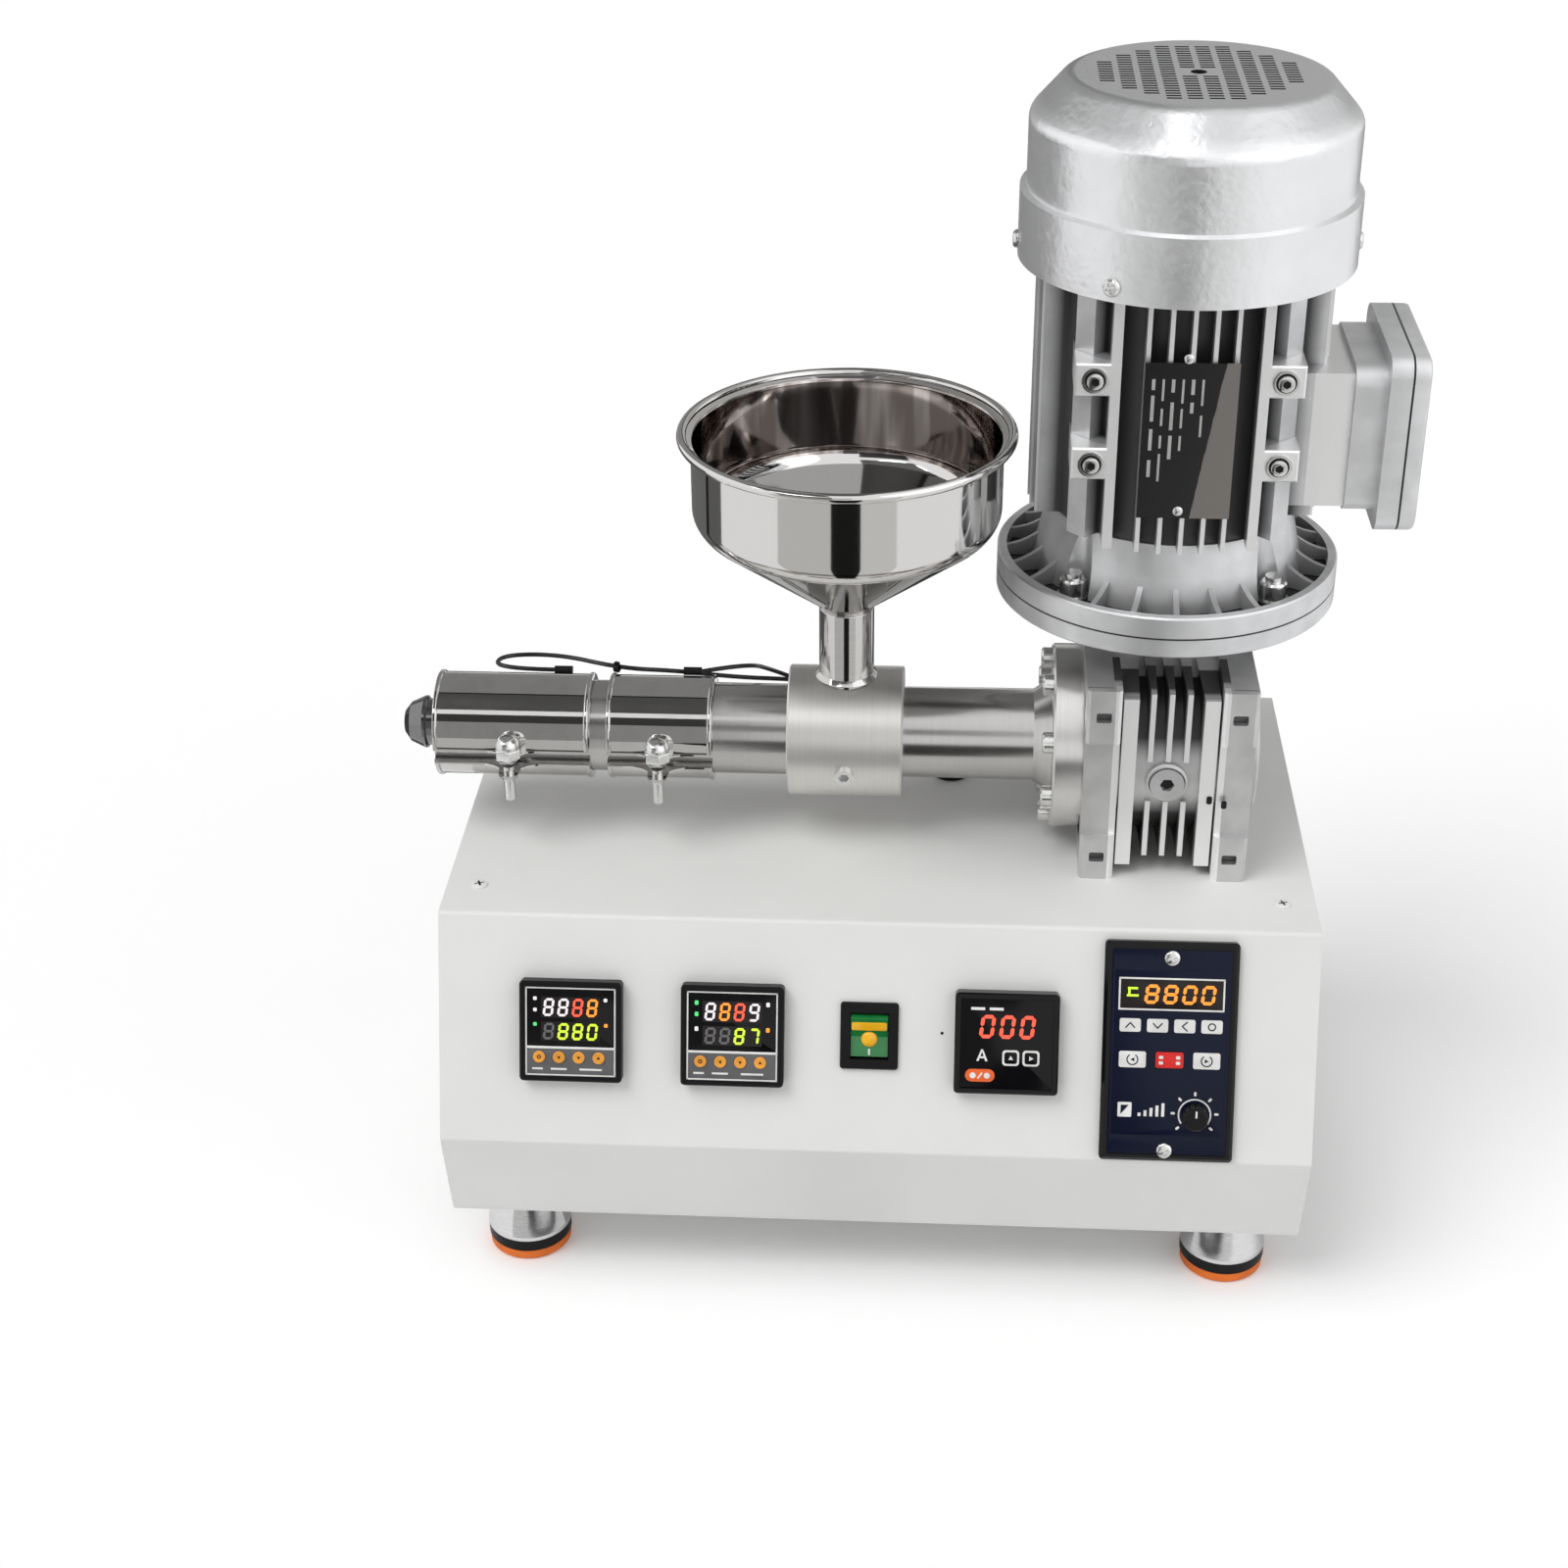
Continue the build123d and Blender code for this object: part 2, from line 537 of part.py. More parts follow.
knob = Pos(0, 0, KNOB_GAP + KNOB_H / 2) * Cylinder(KNOB_R, KNOB_H)
knob = chamfer(knob.faces().sort_by(Axis.Z)[-1].edges(), KNOB_EDGE)
grip = Pos(KNOB_R, 0, KNOB_GAP + KNOB_GRIP_FOOT + KNOB_H / 2) * Cylinder(KNOB_GRIP_R, KNOB_H)
knob -= [Rot(0, 0, i * 360 / KNOB_GRIPS) * grip for i in range(KNOB_GRIPS)]
shaft_foot = KNOB_SHAFT_END - KNOB_SHAFT_DEEP
knob += upright(KNOB_SHAFT_R, shaft_foot, KNOB_GAP + KNOB_H / 2, 0, 0)
save("speed_knob", on_panel(SPEED_X + KNOB_ASIDE, SPEED_DOWN + KNOB_BELOW, face_out) * knob)

# Worm gearbox housing: round cases of wheel and worm between two side frames
back_y = GB_FRONT + GB_DEPTH
top_z = CAB_TOP + GB_H
gearbox = along_x(GB_WHEEL_R, GB_LEFT, GB_RIGHT) + upright(GB_WORM_R, CAB_TOP + SEAM, top_z, GB_X, WORM_Y)
gearbox += block(GB_X - GB_WORM_R, GB_X + GB_WORM_R, OUT_Y, WORM_Y, CAB_TOP + GB_SHELL, top_z - GB_SHELL)


def side_frame(x0, x1):
    """Frame at one side of the housing: four corner pads with pockets, joined by thinner rails."""
    frame = block(x0, x1, GB_FRONT, back_y, CAB_TOP, top_z)
    frame = chamfer(frame.edges().filter_by(Axis.Z), GB_EDGE)
    frame -= block(x0 - 1, x1 + 1, GB_FRONT + GB_FRAME, back_y - GB_FRAME,
                   CAB_TOP + GB_FRAME, top_z - GB_FRAME)
    low = CAB_TOP + GB_PAD_LOW_H
    high = top_z - GB_PAD_HIGH_H
    for face_y in (GB_FRONT, back_y):
        frame -= block(x0 - 1, x1 + 1, face_y - GB_RAIL_STEP, face_y + GB_RAIL_STEP, low, high)
    for z in ((CAB_TOP + low) / 2, (high + top_z) / 2):
        pocket = Pos((x0 + x1) / 2, GB_FRONT, z) * Box(GB_POCKET_W, 2 * GB_POCKET_DEEP, GB_POCKET_H)
        frame -= fillet(pocket.edges().filter_by(Axis.Y), GB_POCKET_R)
    return frame


def drafted(x, width, front, z0, z1):
    """Upright web from the wheel's axis to the front, narrowing forwards like a casting's."""
    tip = width / 2
    foot = tip + GB_DRAFT
    corners = [(x - tip, front), (x + tip, front), (x + foot, OUT_Y), (x - foot, OUT_Y)]
    web = make_face(Polyline(*corners, close=True))
    return Pos(0, 0, z0) * extrude(web, z1 - z0)


gearbox += side_frame(GB_LEFT, GB_LEFT + GB_RAIL_W) + side_frame(GB_RIGHT - GB_RAIL_W, GB_RIGHT)
fin_front = GB_FRONT + GB_FIN_DEEP
plug_room = PLUG_R + GB_PLUG_ROOM
fin_foot = CAB_TOP + GB_FIN_FOOT
fins = drafted(GB_X, GB_FIN_T, fin_front, fin_foot, top_z - GB_SHELL)
for side in (-1, 1):
    fins += drafted(GB_X + side * GB_FIN_PITCH, GB_FIN_T, fin_front, fin_foot, top_z - GB_SHELL)
fins -= block(GB_X - GB_WORM_R, GB_X + GB_WORM_R, GB_FRONT, OUT_Y - GB_WHEEL_R + GB_PLUG_DEEP,
              OUT_Z - plug_room, OUT_Z + plug_room)
gearbox += fins
for side in (-1, 1):
    bar_x = GB_X + side * (GB_W / 2 - GB_RAIL_W - GB_BAR_GAP - GB_BAR_W / 2)
    gearbox += drafted(bar_x, GB_BAR_W, fin_front - GB_BAR_AHEAD,
                       CAB_TOP + GB_BAR_FOOT, top_z - GB_BAR_FOOT)
gearbox += upright(GB_NECK_R, top_z - GB_NECK_DEEP, SEAM_Z - INPUT_FLANGE_T, GB_X, WORM_Y)
save("gearbox_housing", gearbox)

plug_key = extrude(RegularPolygon(PLUG_KEY, 6), PLUG_KEY_DEEP, both=True)
plug = Cylinder(PLUG_R, PLUG_T) - Pos(0, 0, PLUG_T / 2) * plug_key
save("oil_plug", Pos(GB_X, OUT_Y - GB_WHEEL_R - PLUG_T / 2, OUT_Z) * Rot(90, 0, 0) * plug)
side_cover = along_x(GB_COVER_R, GB_RIGHT, GB_RIGHT + GB_COVER_T)
side_cover = chamfer(side_cover.faces().sort_by(Axis.X)[-1].edges(), GB_COVER_EDGE)
save("gearbox_side_cover", side_cover)
save("gearbox_input_flange", turned([(0, -INPUT_FLANGE_T), (FLANGE_R - SHIELD_EDGE, -INPUT_FLANGE_T),
                                     (FLANGE_R, SHIELD_EDGE - INPUT_FLANGE_T), (FLANGE_R, 0), (0, 0)],
                                    GB_X, WORM_Y, SEAM_Z))

# Motor end shield: rim, dish, hub and radial ribs with hollow upper edges
rim_in = FLANGE_R - SHIELD_RIM_T
shield = turned([(0, 0), (FLANGE_R, 0), (FLANGE_R, SHIELD_RIM_H - SHIELD_EDGE),
                 (FLANGE_R - SHIELD_EDGE, SHIELD_RIM_H), (rim_in, SHIELD_RIM_H),
                 (rim_in, SHIELD_FLOOR_T), (SHIELD_FOOT_R, SHIELD_FLOOR_T),
                 (SHIELD_HUB_R, SHIELD_H), (0, SHIELD_H)], GB_X, WORM_Y, SEAM_Z)
nut_places = [Pos(GB_X, WORM_Y, SEAM_Z + SHIELD_FLOOR_T - SPOT_DEEP) * Rot(0, 0, turn) * Pos(STUD_PCR, 0, 0)
              for turn in (45, 135, 225, 315)]
for place in nut_places:
    shield -= place * Pos(0, 0, SHIELD_H / 2) * Cylinder(NUT_R + NUT_ROOM, SHIELD_H)
rib_in = (SHIELD_HUB_R - RIB_SUNK, SHIELD_RIM_H + RIB_RISE)
rib_out = (rim_in + RIB_DIP, SHIELD_RIM_H - RIB_DIP)
rib_side = make_face(
    ThreePointArc(rib_in, (SHIELD_FOOT_R, SHIELD_RIM_H + RIB_HOLLOW), rib_out)
    + Line(rib_out, (rib_out[0], RIB_DIP))
    + Line((rib_out[0], RIB_DIP), (rib_in[0], RIB_DIP))
    + Line((rib_in[0], RIB_DIP), rib_in))
rib = extrude(Plane.XZ * rib_side, RIB_T / 2, both=True)
for i in range(SHIELD_RIBS):
    turn = i * 360 / SHIELD_RIBS
    if turn % 90 != 45:
        shield += Pos(GB_X, WORM_Y, SEAM_Z) * Rot(0, 0, turn) * rib
save("motor_end_shield", shield)

nut = turned([(0, 0), (NUT_R, 0), (NUT_R, NUT_COLLAR_T), (NUT_BODY_R, NUT_COLLAR_T),
              (NUT_BODY_R, NUT_H - NUT_EDGE), (NUT_BODY_R - NUT_EDGE, NUT_H),
              (STUD_R, NUT_H), (STUD_R, STUD_H), (0, STUD_H)])
save("flange_nuts", [place * nut for place in nut_places])


# Finned motor housing with the pads that feet would bolt to
def fin(offset):
    """Cross-section of a fin on the front, thinner at its tip and cut by the fins' round outline."""
    tip = FIN_T / 2
    foot = tip + FIN_DRAFT
    reach = sqrt(FIN_R ** 2 - offset ** 2)
    inside = CORE_R / 2
    return make_face(Polyline((offset - foot, -inside), (offset + foot, -inside),
                              (offset + tip, -reach), (offset - tip, -reach), close=True))


section = Circle(CORE_R)
section += [Rot(0, 0, turn) * fin(i * FIN_PITCH) for turn in (0, 90, 180, 270)
            for i in range(-FINS_EACH_SIDE, FINS_EACH_SIDE + 1)]
section += [Rot(0, 0, turn) * Pos(TIE_R / 2, 0) * Rectangle(TIE_R, TIE_W) for turn in (45, 135, 225, 315)]
housing = extrude(section, MOTOR_LEN)
pad_in = PAD_OUT - PAD_W / 2
pad = block(pad_in, pad_in + PAD_W, -PAD_FACE, -CORE_R / 2, -PAD_H / 2, PAD_H / 2)
pad = chamfer(pad.faces().sort_by(Axis.Y)[0].edges(), PAD_EDGE)
quarter = block(pad_in, pad_in + PAD_RAIL_T, -PAD_FACE, -CORE_R / 2, 0, MOTOR_LEN)
quarter += [Pos(0, 0, z) * pad for z in (PAD_LOW, PAD_HIGH)]
front = quarter + mirror(quarter, Plane.YZ)
housing += front + Rot(0, 0, 180) * front
box_in = BOX_FACE - BOX_FLANGE_T - BOX_BODY_L
seat = BOX_BODY / 2 - SEAT_SMALLER
housing += block(CORE_R / 2, box_in, -seat, seat, BOX_CENTRE_ABOVE - seat, BOX_CENTRE_ABOVE + seat)
lug_out = SKIRT_R - COVER_SHEET - SEAM
lug = block(CORE_R / 2, lug_out, -LUG_W / 2, LUG_W / 2, MOTOR_LEN - LUG_H, MOTOR_LEN)
housing += [Rot(0, 0, turn) * lug for turn in LUG_TURNS]
save("motor_housing", Pos(GB_X, WORM_Y, HOUSING_Z) * housing)

plate_place = Pos(GB_X, WORM_Y - FIN_R - PLATE_T / 2, HOUSING_Z + PLATE_ABOVE)
save("motor_nameplate", plate_place * Box(PLATE_W, PLATE_T, PLATE_H))

# Terminal box
box_place = Pos(GB_X, WORM_Y, HOUSING_Z + BOX_CENTRE_ABOVE) * Rot(0, 90, 0)
box_square = RectangleRounded(BOX_SIZE, BOX_SIZE, BOX_CORNER_R)
box_body = Pos(0, 0, box_in) * extrude(RectangleRounded(BOX_BODY, BOX_BODY, BOX_CORNER_R), BOX_BODY_L)
box_body += Pos(0, 0, BOX_FACE - BOX_FLANGE_T) * extrude(box_square, BOX_FLANGE_T)
save("terminal_box", box_place * box_body)
lid = Pos(0, 0, BOX_FACE) * extrude(box_square, BOX_LID_T)
lid = chamfer(lid.faces().sort_by(Axis.Z)[-1].edges(), BOX_LID_EDGE)
save("terminal_box_lid", box_place * lid)

# Fan cover, pressed from sheet, with its field of slots, and the fan under it
crown_z = SKIRT_H + DRUM_H + SHOULDER_H
outer = [(SKIRT_R, 0), (SKIRT_R, SKIRT_H), (DRUM_R, SKIRT_H + COVER_STEP),
         (DRUM_R, SKIRT_H + DRUM_H), (CROWN_R, crown_z)]
inner = [(r - COVER_SHEET, z - (COVER_SHEET if z > SKIRT_H else 0)) for r, z in outer]
pressed = [(corner, COVER_BEND_R) for corner in outer[-2:]]
pressed += [(corner, COVER_BEND_R - COVER_SHEET) for corner in inner[-2:]]
cover = turned(outer + [(0, crown_z), (0, crown_z - COVER_SHEET)] + inner[::-1], bends=pressed)
slot = Pos(0, 0, crown_z) * Box(SLOT_L, SLOT_W, 4 * COVER_SHEET)
slots = []
columns = int(SLOT_FIELD_R / SLOT_PITCH_X)
rows = int(SLOT_FIELD_R / SLOT_PITCH_Y)
for i in range(-columns, columns):
    for j in range(-rows, rows + 1):
        x = (i + 0.5) * SLOT_PITCH_X
        y = j * SLOT_PITCH_Y
        in_field = hypot(abs(x) + SLOT_L / 2, abs(y) + SLOT_W / 2) < SLOT_FIELD_R
        if in_field and hypot(x, y) > EYE_R + EYE_ROOM:
            slots.append(Pos(x, y, 0) * slot)
cover -= slots
cover -= Pos(0, 0, crown_z) * Cylinder(EYE_R, 4 * COVER_SHEET)
save("fan_cover", Pos(GB_X, WORM_Y, COVER_Z) * cover)

fan = upright(FAN_HUB_R, 0, FAN_H, 0, 0) + upright(FAN_PLATE_R, 0, FAN_PLATE_T, 0, 0)
blade = block(FAN_HUB_R - FAN_BLADE_T, FAN_R, -FAN_BLADE_T / 2, FAN_BLADE_T / 2, 0, FAN_H)
fan += [Rot(0, 0, i * 360 / FAN_BLADES) * blade for i in range(FAN_BLADES)]
save("fan", Pos(GB_X, WORM_Y, HOUSING_TOP + SHAFT_L) * fan)
save("motor_shaft", upright(SHAFT_R, HOUSING_TOP, HOUSING_TOP + SHAFT_L, GB_X, WORM_Y))

# Barrel, from the gearbox to the die
flange = along_x(BARREL_FLANGE_R, FLANGE_FACE, GB_LEFT)
flange = chamfer(flange.faces().sort_by(Axis.X)[0].edges(), BARREL_FLANGE_EDGE)
save("barrel_flange", flange - along_x(BORE_R, FLANGE_FACE - 1, GB_LEFT + 1))
bolt = along_x(BARREL_BOLT_R, FLANGE_FACE - BARREL_BOLT_H, FLANGE_FACE, 0, 0)
bolt = chamfer(bolt.faces().sort_by(Axis.X)[0].edges(), BOLT_EDGE)
bolt_turns = [radians((i + 0.5) * 360 / BARREL_BOLTS) for i in range(BARREL_BOLTS)]
save("flange_bolts", [Pos(0, OUT_Y + BARREL_BOLT_PCR * cos(a), OUT_Z + BARREL_BOLT_PCR * sin(a)) * bolt
                      for a in bolt_turns])
weld = turned([(0, 0), (BARREL_R + WELD_R, 0), (BARREL_R, -WELD_L), (0, -WELD_L)])
rear = along_x(BARREL_R, BLOCK_RIGHT, FLANGE_FACE) + Pos(FLANGE_FACE, OUT_Y, OUT_Z) * Rot(0, 90, 0) * weld
save("rear_tube", rear - along_x(BORE_R, BLOCK_RIGHT - 1, FLANGE_FACE + 1))

feed = along_x(BLOCK_R, BLOCK_LEFT, BLOCK_RIGHT)
feed = chamfer(feed.edges().filter_by(GeomType.CIRCLE), BLOCK_EDGE)
spout_bottom = OUT_Z + BLOCK_R - SPOUT_SEAT
feed -= along_x(BORE_R, BLOCK_LEFT - 1, BLOCK_RIGHT + 1)
feed -= upright(SPOUT_R + SPOUT_FIT, spout_bottom, OUT_Z + BLOCK_R + 1, BLOCK_X, OUT_Y)
feed -= upright(SPOUT_R - SPOUT_WALL, OUT_Z, spout_bottom + 1, BLOCK_X, OUT_Y)
screw_way = Pos(BLOCK_X, OUT_Y, OUT_Z) * Rot(90 + SET_SCREW_ASIDE, 0, 0)
feed -= screw_way * Pos(0, 0, BLOCK_R) * Cylinder(SET_SCREW_R, 2 * SET_SCREW_DEEP)
save("feed_block", feed)
set_screw = upright(SET_SCREW_R, -SET_SCREW_L, 0, 0, 0)
set_screw -= extrude(RegularPolygon(SET_SCREW_KEY, 6), SET_SCREW_KEY, both=True)
save("block_set_screw", screw_way * Pos(0, 0, BLOCK_R + SET_SCREW_OUT) * set_screw)
barrel = along_x(BARREL_R, BAND_1_LEFT, BLOCK_LEFT)
save("barrel_tube", barrel - along_x(BORE_R, BAND_1_LEFT - 1, BLOCK_LEFT + 1))

# Extruder screw: root with a conical nose, and its flight swept along a helix
screw_end = BAND_1_LEFT + SCREW_SHORT
screw_l = GB_LEFT - screw_end
root = turned([(0, 0), (SCREW_NOSE_R, 0), (SCREW_ROOT_R, SCREW_NOSE_L),
               (SCREW_ROOT_R, screw_l), (0, screw_l)])
flight_in = SCREW_ROOT_R - FLIGHT_SUNK
helix = Helix(pitch=SCREW_PITCH, height=SCREW_TURNS * SCREW_PITCH, radius=(flight_in + SCREW_R) / 2)
across = Plane(origin=helix @ 0, x_dir=(1, 0, 0), z_dir=helix % 0)
flight_section = across * Rectangle(SCREW_R - flight_in, FLIGHT_T)
flight = Pos(0, 0, SCREW_NOSE_L + FLIGHT_T) * sweep(flight_section, path=helix, is_frenet=True)
save("extruder_screw", Pos(screw_end, OUT_Y, OUT_Z) * Rot(0, 90, 0) * (root + flight))


def split_ring(radius, x0, x1):
    """Ring round the barrel, open at the front where the band is split."""
    across = Plane((x0, OUT_Y, OUT_Z), x_dir=(0, 1, 0), z_dir=(1, 0, 0))
    split = Pos(-radius, -BAND_SPLIT_BELOW) * Rectangle(2 * radius, BAND_SPLIT)
    return extrude(across * (Circle(radius) - Circle(BARREL_R + BAND_FIT) - split), x1 - x0)


def heater_band(x0, x1):
    """Split band with rolled lips at its ends and two ears for its clamp screw at the front."""
    lip_r = BAND_R + BAND_LIP
    band = split_ring(BAND_R, x0, x1)
    band += split_ring(lip_r, x0, x0 + BAND_LIP_W) + split_ring(lip_r, x1 - BAND_LIP_W, x1)
    middle = (x0 + x1) / 2
    reach = BAND_R + EAR_OUT - BARREL_R / 2
    ears = Sketch() + [Pos(reach / 2 - BAND_R - EAR_OUT, side * (BAND_SPLIT + EAR_T) / 2 - BAND_SPLIT_BELOW)
                       * Rectangle(reach, EAR_T) for side in (-1, 1)]
    ears -= Circle((BAND_R + BARREL_R) / 2)
    across = Plane((middle - EAR_L / 2, OUT_Y, OUT_Z), x_dir=(0, 1, 0), z_dir=(1, 0, 0))
    hole = upright(CLAMP_R + CLAMP_RUN, OUT_Z - BAND_R, OUT_Z + BAND_R, middle, OUT_Y - BAND_R - CLAMP_OUT)
    return band + extrude(across * ears, EAR_L) - hole


def clamp_bolt(x0, x1):
    """Upright screw through the band's ears, with a domed head."""
    top = BAND_SPLIT / 2 + EAR_T
    straight = CLAMP_HEAD_H - CLAMP_HEAD_DOME
    head = turned([(0, top), (CLAMP_HEAD_R, top), (CLAMP_HEAD_R, top + straight),
                   (CLAMP_HEAD_R - CLAMP_HEAD_DOME, top + CLAMP_HEAD_H), (0, top + CLAMP_HEAD_H)])
    head += upright(CLAMP_R, -top - CLAMP_TAIL, top, 0, 0)
    return Pos((x0 + x1) / 2, OUT_Y - BAND_R - CLAMP_OUT, OUT_Z - BAND_SPLIT_BELOW) * head


for i, (x0, x1) in enumerate(((BAND_1_LEFT, BAND_1_RIGHT), (BAND_2_LEFT, BAND_2_RIGHT)), 1):
    save(f"heater_band_{i}", heater_band(x0, x1))
    save(f"clamp_bolt_{i}", clamp_bolt(x0, x1))

# Nozzle: neck and die with a conical chamber and a ring of holes
die_front = NECK_L + DIE_L
die = turned([(0, DIE_CHAMBER_DEEP), (DIE_CHAMBER_END_R, DIE_CHAMBER_DEEP), (DIE_CHAMBER_R, 0), (NECK_R, 0),
              (NECK_R, NECK_L), (DIE_R, NECK_L + DIE_EDGE), (DIE_R, NECK_L + DIE_EDGE + DIE_RIM),
              (DIE_R - DIE_ROUND, die_front - DIE_ROUND), (DIE_FACE_R, die_front), (0, die_front)])
hole = Pos(DIE_HOLE_PCR, 0, die_front) * Cylinder(DIE_HOLE_R, 2 * DIE_HOLE_DEEP)
die -= [Rot(0, 0, i * 360 / DIE_HOLES) * hole for i in range(DIE_HOLES)]
save("nozzle", Pos(BAND_1_LEFT, OUT_Y, OUT_Z) * Rot(0, -90, 0) * die)

# Hopper: bowl, cone and neck in one skin with a rolled rim, and the spout that it stands in
neck_out = SPOUT_R - SPOUT_WALL - NECK_FIT
neck_top = BOWL_BOTTOM_Z - (BOWL_R - neck_out) * CONE_TAPER
neck_foot = neck_top - HOPPER_NECK_L
rise = BOWL_WALL * (hypot(1, CONE_TAPER) - CONE_TAPER)
bowl_in = BOWL_R - BOWL_WALL
neck_in = neck_out - BOWL_WALL
skin = [(neck_in, neck_foot), (neck_in, neck_top + rise), (bowl_in, BOWL_BOTTOM_Z + rise),
        (bowl_in, RIM_Z - BOWL_LIP), (RIM_OUT - RIM_OVERLAP, RIM_Z), (RIM_OUT, RIM_Z - 1),
        (BOWL_R, RIM_Z - BOWL_LIP), (BOWL_R, BOWL_BOTTOM_Z), (neck_out, neck_top), (neck_out, neck_foot)]
rounded = [((bowl_in, BOWL_BOTTOM_Z + rise), BOWL_CORNER),
           ((BOWL_R, BOWL_BOTTOM_Z), BOWL_CORNER + BOWL_WALL)]
bowl = turned(skin, BLOCK_X, OUT_Y, bends=rounded)
save("hopper", bowl + Pos(BLOCK_X, OUT_Y, RIM_Z) * Torus(RIM_OUT, RIM_R))
spout = upright(SPOUT_R, spout_bottom, neck_top - SEAM, BLOCK_X, OUT_Y)
save("feed_spout", spout - upright(SPOUT_R - SPOUT_WALL, spout_bottom - 1, neck_top + 1, BLOCK_X, OUT_Y))


# Heater leads with their glands on the bands and the grommet in the cabinet's top
def tube(points, radius):
    """Tube of straight runs joined by tangent arcs."""
    stops = [Vector(*point) for point in points]
    radii = []
    for before, corner, after in zip(stops, stops[1:], stops[2:]):
        shorter = min((corner - before).length, (after - corner).length)
        turn = radians((corner - before).get_angle(after - corner))
        radii.append(min(BEND_SHARE * shorter / tan(turn / 2), BEND_MOST * shorter))
    route = FilletPolyline(*stops, radius=radii)
    print("smallest bend", round(min(radii), 2), "length", round(route.length, 1))
    start = Plane(origin=stops[0], z_dir=stops[1] - stops[0])
    return sweep(start * Circle(radius), path=route)


for i, points in enumerate((LEAD_1, LEAD_2), 1):
    save(f"heater_lead_{i}", tube(points, LEAD_R))
start_1, *level_1 = LEAD_1[0]
start_2, *level_2 = LEAD_2[0]
save("lead_glands", [along_x(GLAND_R, start_1 + GLAND_GAP, start_1 + GLAND_L, *level_1),
                     along_x(GLAND_R, start_2 - GLAND_L, start_2 - GLAND_GAP, *level_2)])
grommet = upright(GROMMET_R - GROMMET_FIT, CAB_TOP - GROMMET_DEEP, CAB_TOP, GROMMET_X, GROMMET_Y)
grommet += upright(GROMMET_R + GROMMET_LIP, CAB_TOP, CAB_TOP + GROMMET_H, GROMMET_X, GROMMET_Y)
save("cable_grommet", grommet)

# Screws on top of the cabinet
top_screw = upright(TOP_SCREW_R, CAB_TOP, CAB_TOP + TOP_SCREW_H, 0, 0)
screw_x = half - TOP_SCREW_IN
save("cabinet_screws", [Pos(x, y, 0) * top_screw for x in (-screw_x, screw_x)
                        for y in (TOP_SCREW_BACK, CAB_DEPTH - TOP_SCREW_BACK)])
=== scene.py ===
from math import cos, degrees, pi, radians, sin

import bmesh
import bpy
from bpy.props import FloatProperty, FloatVectorProperty, PointerProperty
from mathutils import Matrix, Vector


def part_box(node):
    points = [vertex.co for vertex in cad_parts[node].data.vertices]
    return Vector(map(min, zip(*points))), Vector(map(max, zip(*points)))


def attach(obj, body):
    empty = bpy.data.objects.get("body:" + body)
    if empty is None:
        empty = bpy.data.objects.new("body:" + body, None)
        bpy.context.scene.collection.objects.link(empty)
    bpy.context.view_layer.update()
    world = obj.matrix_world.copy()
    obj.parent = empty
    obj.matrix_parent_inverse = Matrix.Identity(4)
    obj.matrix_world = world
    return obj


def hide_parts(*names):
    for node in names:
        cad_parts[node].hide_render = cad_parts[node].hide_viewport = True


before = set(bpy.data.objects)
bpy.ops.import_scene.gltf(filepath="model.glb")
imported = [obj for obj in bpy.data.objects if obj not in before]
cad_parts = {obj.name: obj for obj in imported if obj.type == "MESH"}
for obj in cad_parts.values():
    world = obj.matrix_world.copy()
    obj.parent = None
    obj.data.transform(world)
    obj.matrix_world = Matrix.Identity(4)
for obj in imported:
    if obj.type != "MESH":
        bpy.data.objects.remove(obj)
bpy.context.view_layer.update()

bl_info = {
    "name": "Filament Extruder Dressing",
    "version": (1, 0, 0),
    "blender": (4, 5, 0),
    "location": "3D View > Sidebar > Extruder",
    "description": "Instruments, fasteners, heater leads and finishes of a bench filament extruder",
    "category": "Object",
}

# Sizes are in millimetres from here on. X runs from the middle of the cabinet, Y from the
# fold between its top and its leaning panel, and Z from the floor.
MM = 0.001
CABINET_DEPTH, CABINET_TOP = 230.0, 194.0
PANEL_DROP, PANEL_LEAN = 103.0, 39.0
cabinet_low, cabinet_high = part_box("cabinet_cover")
SHIFT = Vector(((cabinet_low.x + cabinet_high.x) / 2 / MM, cabinet_high.y / MM - CABINET_DEPTH, 0))
TO_ROW = Matrix.Scale(MM, 4) @ Matrix.Translation(SHIFT)

SLOPE = Vector((0, PANEL_LEAN, PANEL_DROP)).normalized()
OUTWARD = Vector((0, -PANEL_DROP, PANEL_LEAN)).normalized()
PANEL_AXES = Matrix((Vector((1, 0, 0)), SLOPE, OUTWARD)).transposed().to_4x4()
PANEL = Matrix.Translation((0, 0, CABINET_TOP)) @ PANEL_AXES

BARREL_Y, BARREL_Z = 93.0, 244.0
MOTOR_X, MOTOR_Y = 133.4, 133.0
HOPPER_X = -17.5
SPLIT_BELOW, SPLIT_HALF = 5.5, 3.4      # split of the heater bands: under the axis, and half its width
INSTRUMENT_DOWN, INSTRUMENT_OUT = 54.3, 6.2     # middle of the square instruments, and floor of their faces
KNOB_X, KNOB_DOWN, KNOB_TOP = 148.8, 86.0, 13.3


def middle(node):
    """Centre of a CAD node, in millimetres."""
    low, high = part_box(node)
    return (low + high) / 2 / MM - SHIFT


def at(x, y, z):
    return Matrix.Translation((x, y, z))


def on_panel(x, down, out=0.0):
    """Place on the leaning panel, by its distance down the slope."""
    return PANEL @ at(x, -down, out)


def towards(direction):
    """Turn that points a shape's Z axis along a direction."""
    return Vector(direction).to_track_quat("Z", "Y").to_matrix().to_4x4()


def turn(angle, axis="Z"):
    return Matrix.Rotation(radians(angle), 4, axis)


SHARP_FROM = radians(32)        # edges that bend more than this look sharp


